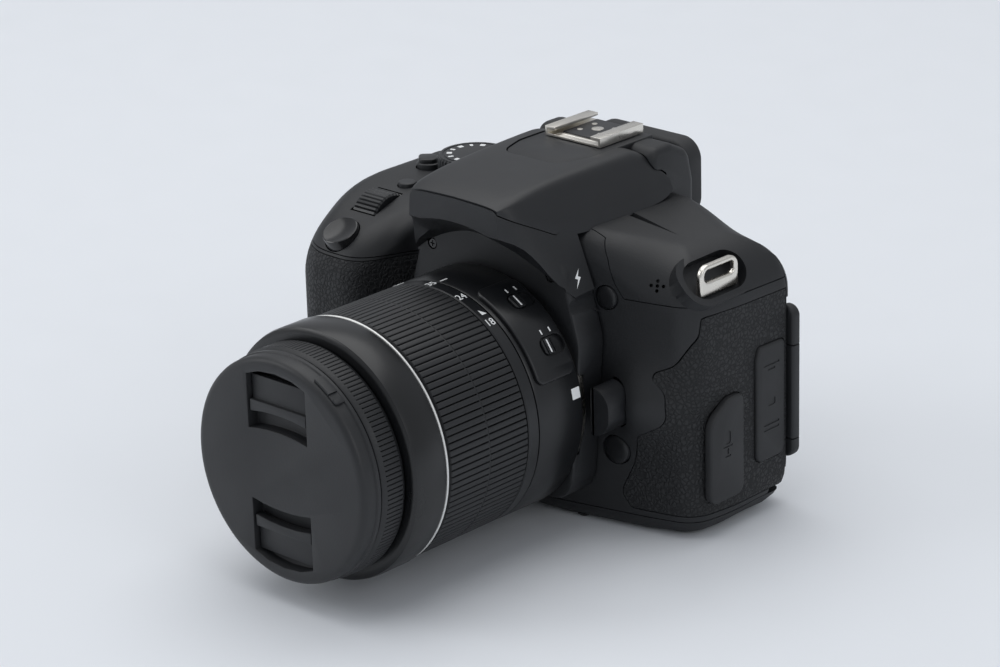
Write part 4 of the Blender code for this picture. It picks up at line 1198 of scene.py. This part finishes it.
def mode_dial():
    cut(top, disc("dial_collar", 12.4, 77.0, 79.4, DIAL_AT, (0, 0, 1), 0.4, 72), "UNION")
    cut(top, disc("dial_well", 10.9, 77.0, 95.0, DIAL_AT, (0, 0, 1), 0.01, 72))
    dial = knurled("mode_dial", 48, 10.5, 0.45, 77.6, 85.6, DIAL_AT, (0, 0, 1), 0.6)
    groove = [(8.6, 85.45), (9.1, 85.45), (9.1, 86.0), (8.6, 86.0)]
    cut(dial, spun("rim_groove", groove, DIAL_AT, (0, 0, 1), 72))
    hand_over(dial, "mode_dial_wheel", "button", "mode_dial", ["mode_dial"], angle=30.0)
    marks = []
    for k in range(14):
        angle = 2.0 * math.pi * k / 14.0
        wide = 1.5 if k % 2 else 0.9
        mark = slab("mark", panel(-wide / 2.0, -0.75, wide / 2.0, 0.75, 0.2), "z", 85.6, 85.66)
        spot = Matrix.Rotation(angle, 4, "Z") @ Matrix.Translation((0.0, 7.2 * MM, 0.0))
        mark.data.transform(Matrix.Translation(Vector(DIAL_AT) * MM) @ spot)
        marks.append(mark)
    hand_over(joined("mode_dial_marks", marks), "mode_dial_marks", "white", "mode_dial")


def main_dial():
    cut(top, disc("wheel_well", 8.3, -4.7, 4.7, (-50.0, -33.6, 70.6), (1, 0, 0), 0.01, 64))
    wheel = knurled("main_dial", 40, 8.0, 0.55, -4.4, 4.4, (-50.0, -33.6, 70.6), (1, 0, 0), 0.5)
    hand_over(wheel, "main_dial_wheel", "button", "main_dial", ["main_dial"], angle=30.0)


def power_switch():
    pivot = (-53.8, -10.0, 79.0)
    cut(top, disc("switch_well", 4.0, -2.2, 8.0, pivot, (0, 0, 1), 0.01, 48))
    lever = disc("power_switch", 3.6, -1.8, 1.6, pivot, (0, 0, 1), 0.4, 48)
    blade = rounded([(-58.5, -9.5, 1.4), (-54.5, -14.0, 2.0), (-50.5, -10.0, 2.0), (-54.5, -6.0, 2.0)])
    cut(lever, slab("blade", blade, "z", 79.9, 81.8, 0.5, 3), "UNION")
    hand_over(lever, "power_switch_lever", "button", "power_switch", ["power_switch"])


mode_dial()
main_dial()
power_switch()
knob = knurled("dioptre_dial", 24, 4.2, 0.3, -0.9, 1.6, (-22.2, 10.0, 85.5), (-1, 0, 0), 0.3)
hand_over(knob, "dioptre_dial_wheel", "button", "dioptre_dial", ["dioptre_dial"], angle=30.0)
print("dials made")

# %% [markdown]
# ## Front controls and printed marks
# The lens release is a domed half-moon beside the mount. Marks printed on curved skin start flat,
# are sliced, and are then drawn onto the cover by a Shrinkwrap modifier.

# %% Release, mount ring and screws
def release_outline(grow):
    g = grow
    return rounded([(33.6 - g, 30.5 - g, 1.0), (39.8 + g, 30.5 - g, 5.6), (39.8 + g, 44.0 + g, 5.6),
                    (33.6 - g, 44.0 + g, 1.0)])


def lens_release():
    cut(front, slab("release_well", release_outline(0.28), "y", -60.0, -31.0))
    made = slab("lens_release", release_outline(0.0), "y", -42.0, -33.6, 1.3, 4)
    hand_over(made, "lens_release_pad", "button", "lens_release_button", ["lens_release_button"])


def mount_ring():
    ring = about_axis("mount_ring", [(27.0, -2.8), (31.2, -2.8), (31.3, -2.6), (31.3, -0.4), (31.1, -0.3),
                                     (27.0, 0.0)], 160)
    hand_over(ring, "mount_ring", "steel", stands_for=["lens_mount_ring"])


def cover_screw(name, cover, centre, direction, radius=1.55):
    cut(cover, disc("screw_seat", radius + 0.15, -0.9, 3.0, centre, direction, 0.01, 32))
    head = disc(name, radius, -0.85, -0.1, (0, 0, 0), (0, 0, 1), 0.35, 32)
    for wide, tall in ((1.7, 0.42), (0.42, 1.7)):
        cut(head, cuboid("slot", (-wide / 2, -tall / 2, -0.5), (wide / 2, tall / 2, 1.0)))
    turn_to = Vector((0, 0, 1)).rotation_difference(Vector(direction)).to_matrix().to_4x4()
    head.data.transform(Matrix.Translation(Vector(centre) * MM) @ turn_to)
    return hand_over(head, name, "gloss")


lens_release()
mount_ring()
cover_screw("plate_screw_left", front, (-21.3, -43.2, 72.4), (0, -1, 0))
cover_screw("plate_screw_right", front, (21.3, -43.2, 72.4), (0, -1, 0))
for number, (x, y) in enumerate([(-30.0, -30.0), (-18.0, 4.0), (30.0, -26.0), (44.0, 4.0), (20.0, -30.0)]):
    cover_screw("base_screw_%d" % number, base, (x, y, 0.0), (0, 0, -1), 1.8)
print("release, mount and screws made")


# %% Printed marks on curved skin
def printed(name, target, outline, centre, facing, lift=0.05, step=0.5):
    """A flat outline (right, up) set near the skin facing outwards, then drawn onto it."""
    flat = from_points(name, [(u, v, 0.0) for u, v in outline], (), [range(len(outline))])
    sliced(flat, 0, step)
    sliced(flat, 1, step)
    normal = Vector(facing).normalized()
    right = Vector((0, 0, 1)).cross(normal).normalized()
    frame_of = Matrix((right, normal.cross(right), normal)).transposed().to_4x4()
    flat.data.transform(Matrix.Translation(Vector(centre) * MM) @ frame_of)
    apply(flat, "SHRINKWRAP", target=target, wrap_method="NEAREST_SURFACEPOINT",
          wrap_mode="ABOVE_SURFACE", offset=lift * MM)
    apply(flat, "SOLIDIFY", thickness=0.04 * MM, offset=0.0)
    return flat


BOLT = [(0.9, 2.9), (-1.5, -0.2), (0.1, -0.2), (-0.9, -2.9), (1.6, 0.7), (0.1, 0.7)]
bolt = printed("flash_bolt_mark", front, BOLT, (28.2, -38.6, 72.2), (0.45, -0.85, 0.25))
hand_over(bolt, "flash_bolt_mark", "white")
for u, v in ((-1.7, 0.0), (1.7, 0.0), (0.0, 1.6), (0.0, -1.6), (0.0, 0.0)):
    spot = Vector((44.9 + u * 0.91, -27.8 + u * 0.41, 70.8 + v * 0.9))
    cut(top, disc("sound_hole", 0.5, -2.0, 3.0, tuple(spot), (0.37, -0.82, 0.44), 0.01, 16))
print("printed marks made")

# %% [markdown]
# ## Terminal covers
# Two soft rubber flaps close the sockets. Each has its own outline, eased edges and a small sunken
# sign, and sits in a pocket cut through the rubber skin and the cover.

# %% Terminal covers
FLAP_GAP = 0.28
MICROPHONE_FLAP = [(-23.4, 10.4, 3.0), (-9.6, 10.4, 3.0), (-9.6, 39.2, 2.4), (-15.5, 39.2, 6.0),
                   (-23.4, 34.0, 6.0)]
VIDEO_FLAP = [(-4.2, 16.4, 2.6), (7.6, 16.4, 2.6), (7.6, 49.4, 1.6), (-3.0, 49.4, 1.6), (-4.2, 46.0, 4.0)]


def terminal_flap(node, corners, signs):
    outline = rounded(corners)
    for cover in (front, side_skin):
        cut(cover, slab("flap_pocket", widened(outline, FLAP_GAP), "x", 56.4, 70.0))
    flap = slab(node, outline, "x", 56.8, 59.3, 0.7, 3)
    for sign in signs:
        cut(flap, slab("sign", sign, "x", 59.1, 59.9))
    return hand_over(flap, node + "_flap", "cover", node, [node], angle=40.0)


def bars(y, z, sizes, gap):
    """A column of small bars, as an outline for each."""
    shapes = []
    for wide, tall in sizes:
        shapes.append(panel(y - wide / 2, z - tall, y + wide / 2, z, min(wide, tall) * 0.3))
        z -= tall + gap
    return shapes


terminal_flap("microphone_port_cover", MICROPHONE_FLAP,
              bars(-16.5, 30.0, [(2.2, 3.6), (3.8, 0.5), (0.6, 1.6), (2.4, 0.5)], 0.35))
terminal_flap("video_port_cover", VIDEO_FLAP, bars(1.8, 44.0, [(6.4, 0.6), (3.0, 0.6)], 0.7)
              + bars(1.8, 34.0, [(3.2, 2.2)], 0.4) + bars(1.8, 27.0, [(6.4, 0.6), (6.4, 0.6)], 0.9))
print("terminal covers made")

# %% [markdown]
# ## Doors and tripod socket
# The card door is a piece of the same skin, so it closes flush. The battery door and the tripod
# socket lie in the base.

# %% Doors and socket
def doors():
    card = panel(-14.0, 22.0, 6.0, 60.0, 2.0)
    cut(front, slab("card_way", widened(card, FLAP_GAP), "x", -80.0, -60.0))
    blank = [(-80.0, 10.0), (-60.0, 10.0), (-60.0, 64.0), (-80.0, 64.0)]
    door = rubber_skin("card_door", blank, -30.0, 8.8)
    cut(door, slab("keep", card, "x", -80.0, -64.0), "INTERSECT")
    hand_over(door, "card_door_panel", "case", "card_door", ["card_door"])
    battery = panel(-66.0, -44.0, -44.0, -6.0, 3.0)
    cut(base, slab("battery_way", widened(battery, FLAP_GAP), "z", -1.0, 10.0))
    flap = slab("battery_door", battery, "z", 0.0, 1.8, 0.25)
    cut(flap, cuboid("latch_slot", (-63.0, -30.0, -1.0), (-60.5, -20.0, 0.6)))
    hand_over(flap, "battery_door_panel", "case", "battery_door", ["battery_door"])
    cut(base, disc("socket_way", 7.3, -1.0, 12.0, (0, -14, 0), (0, 0, 1), 0.01, 64))
    threads = [(3.2 if k % 2 else 3.45, 0.4 + 0.32 * k) for k in range(15)]
    socket = spun("tripod_socket_ring", [(3.5, 0.0), (6.9, 0.0), (7.0, 0.15), (7.0, 5.4), (3.3, 5.4)]
                  + threads[::-1], (0.0, -14.0, 0.0), (0, 0, 1), 72)
    hand_over(socket, "tripod_socket_ring", "steel", stands_for=["tripod_socket"])


doors()
print("doors and tripod socket made")

# %% [markdown]
# ## Back of the camera
# Buttons ring the swing-out screen: the keys stand in clear holes, a four-way ring surrounds the
# set button, and the screen is a framed panel with a dark glass let into it.

# %% Back buttons
BACK_BUTTONS = [
    ("menu_button", 44.0, 66.5, 2.4), ("info_button", 34.5, 66.5, 2.4),
    ("live_view_button", -27.0, 66.5, 3.0),
    ("exposure_lock_button", -50.0, 66.2, 2.4), ("focus_point_button", -61.0, 66.2, 2.4),
    ("aperture_button", -31.0, 51.0, 2.6), ("quick_menu_button", -46.0, 52.0, 2.6),
    ("playback_button", -33.0, 16.5, 2.6), ("delete_button", -46.0, 14.0, 2.6),
]
PAD = (-42.0, 33.5)
BACKWARD = (0.0, 1.0, 0.0)
for node, x, z, radius in BACK_BUTTONS:
    covers = [back_piece, top] if z + radius > TOP_SEAM else [back_piece]
    push_button(node, covers, (x, REAR_Y, z), BACKWARD, radius, 0.8, 3.0)


def four_way_keys():
    u, w = PAD
    cut(back_piece, disc("pad_well", 8.8, -10.0, 6.0, (u, REAR_Y, w), BACKWARD, 0.01, 72))
    ring = spun("cross_keys", [(4.4, -3.0), (8.5, -3.0), (8.5, 0.4), (8.1, 0.85), (7.4, 0.9), (5.0, 0.45),
                               (4.4, 0.4)], (u, REAR_Y, w), BACKWARD, 72)
    hand_over(ring, "cross_keys_ring", "button", "cross_keys", ["cross_keys"])
    push_button("set_button", [], (u, REAR_Y, w), BACKWARD, 4.0, 0.9, 3.0, "button", 0.3)
    arrows = []
    for k in range(4):
        angle = 0.5 * math.pi * k
        tip = [(0.0, 7.6), (-0.9, 6.4), (0.9, 6.4)]
        across, up = math.cos(angle), math.sin(angle)
        corners = [(u + a * across - b * up, w + a * up + b * across) for a, b in tip]
        arrows.append(slab("arrow", corners, "y", REAR_Y + 0.6, REAR_Y + 0.93))
    hand_over(joined("key_arrows", arrows), "key_arrows", "white", "cross_keys")


four_way_keys()
print("back buttons:", len(BACK_BUTTONS) + 2)


# %% Screen, eyecup and thumb rest
def swing_screen():
    x0, y0, z0 = SCREEN_LOW
    x1, y1, z1 = SCREEN_HIGH
    frame_plate = slab("screen_frame", rounded([(x0, z0, 3), (x1, z0, 3), (x1, z1, 3), (x0, z1, 3)]), "y",
                       y0, y1, 0.7, 3)
    bay = panel(x0 + 3.0, z0 + 3.4, x1 - 3.0, z1 - 3.4, 1.5)
    cut(frame_plate, slab("glass_bay", bay, "y", y1 - 0.5, 40.0))
    hand_over(frame_plate, "screen_frame", "case", "screen", ["screen_panel"])
    glass = panel(x0 + 3.2, z0 + 3.6, x1 - 3.2, z1 - 3.6, 1.4)
    pane = slab("screen_glass", glass, "y", y1 - 0.5, y1 - 0.1, 0.12)
    hand_over(pane, "screen_glass", "glass", "screen")
    arm = rounded([(x1 + CLEAR, 14.0, 2), (60.5, 14.0, 3), (60.5, 57.5, 3), (x1 + CLEAR, 57.5, 2)])
    hinge = slab("screen_arm", arm, "y", BACK_SEAM + 0.5, y1 - 0.1, 0.9, 4)
    cut(hinge, cuboid("knuckle_gap", (57.0, 0.0, 19.4), (70.0, 40.0, 19.8)))
    cut(hinge, cuboid("knuckle_gap", (57.0, 0.0, 46.4), (70.0, 40.0, 46.8)))
    hand_over(hinge, "screen_arm", "case", "screen", ["screen_hinge"])


def eyecup():
    cup = slab("eyecup_ring", panel(-18.0, 70.4, 18.0, 93.0, 6.0), "y", 16.8, 23.4, 1.2, 4)
    cut(cup, slab("window", panel(-10.0, 76.0, 10.0, 88.6, 3.0), "y", 10.0, 30.0))
    cut(cup, slab("dish", panel(-13.0, 73.8, 13.0, 90.4, 4.0), "y", 19.4, 30.0))
    soft_edges(cup, 0.3, 2, 60.0)
    hand_over(cup, "eyecup_ring", "cover", "eyecup", ["eyecup"], angle=50.0)
    pane = slab("finder_glass", panel(-9.0, 76.6, 9.0, 88.0, 2.0), "y", 6.0, 9.0, 0.3)
    hand_over(pane, "finder_glass", "glass", stands_for=["eyepiece_lens"])


THUMB = [(-80.0, 26.0, 1.0), (-62.0, 26.0, 6.0), (-54.0, 42.0, 12.0), (-54.5, 58.0, 5.0), (-80.0, 61.0, 1.0)]
swing_screen()
eyecup()
thumb_bed = body_skin("thumb_bed", RUBBER + 0.25)
thumb_way = slab("thumb_way", widened(rounded(THUMB), 0.25, 240), "y", BACK_SEAM + 0.6, 40.0)
cut(thumb_way, thumb_bed)
cut(back_piece, thumb_way)
thumb = rubber_skin("thumb_rest_skin", rounded(THUMB), BACK_SEAM + 0.9, 40.0)
hand_over(thumb, "thumb_rest_skin", "leather")
print("screen, eyecup and thumb rest made")

# %% [markdown]
# ## Covers are handed over last
# The covers were cut by every neighbour on the way, so they get their finish now. What stays of
# the frame inside the body gets its own finish.

# %% Hand over the covers and the inner parts
print("front cover spans", round(extent(front), 1), "mm and has", len(front.data.polygons), "faces")
hand_over(front, "front_cover_skin", "case", stands_for=["front_cover"], angle=32.0)
hand_over(top, "top_cover_skin", "case", stands_for=["top_cover"], angle=32.0)
hand_over(base, "base_cover_skin", "case", stands_for=["bottom_cover"], angle=32.0)
hand_over(back_piece, "back_cover_skin", "case", stands_for=["rear_cover"], angle=32.0)
hand_over(grip_skin, "grip_rubber_skin", "leather", stands_for=["grip_rubber"], angle=32.0)
hand_over(side_skin, "side_rubber_skin", "leather", stands_for=["side_rubber"], angle=32.0)
INNER = {
    "mirror_box": "deep", "shutter_unit": "deep", "battery": "deep", "main_board": "board",
    "image_sensor": "glass", "focusing_screen": "white", "pentamirror": "glass", "reflex_mirror": "mirror",
}
for node, look in INNER.items():
    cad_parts[node].data.materials.clear()
    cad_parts[node].data.materials.append(FINISH[look])
print("inner parts finished:", len(INNER))

# %% [markdown]
# ## Clearing away the masters
# The master skins that the covers and rubber skins were cut from are removed.

# %% Finish
for master in (skin_master, lining_master, bed_master):
    bpy.data.objects.remove(master)
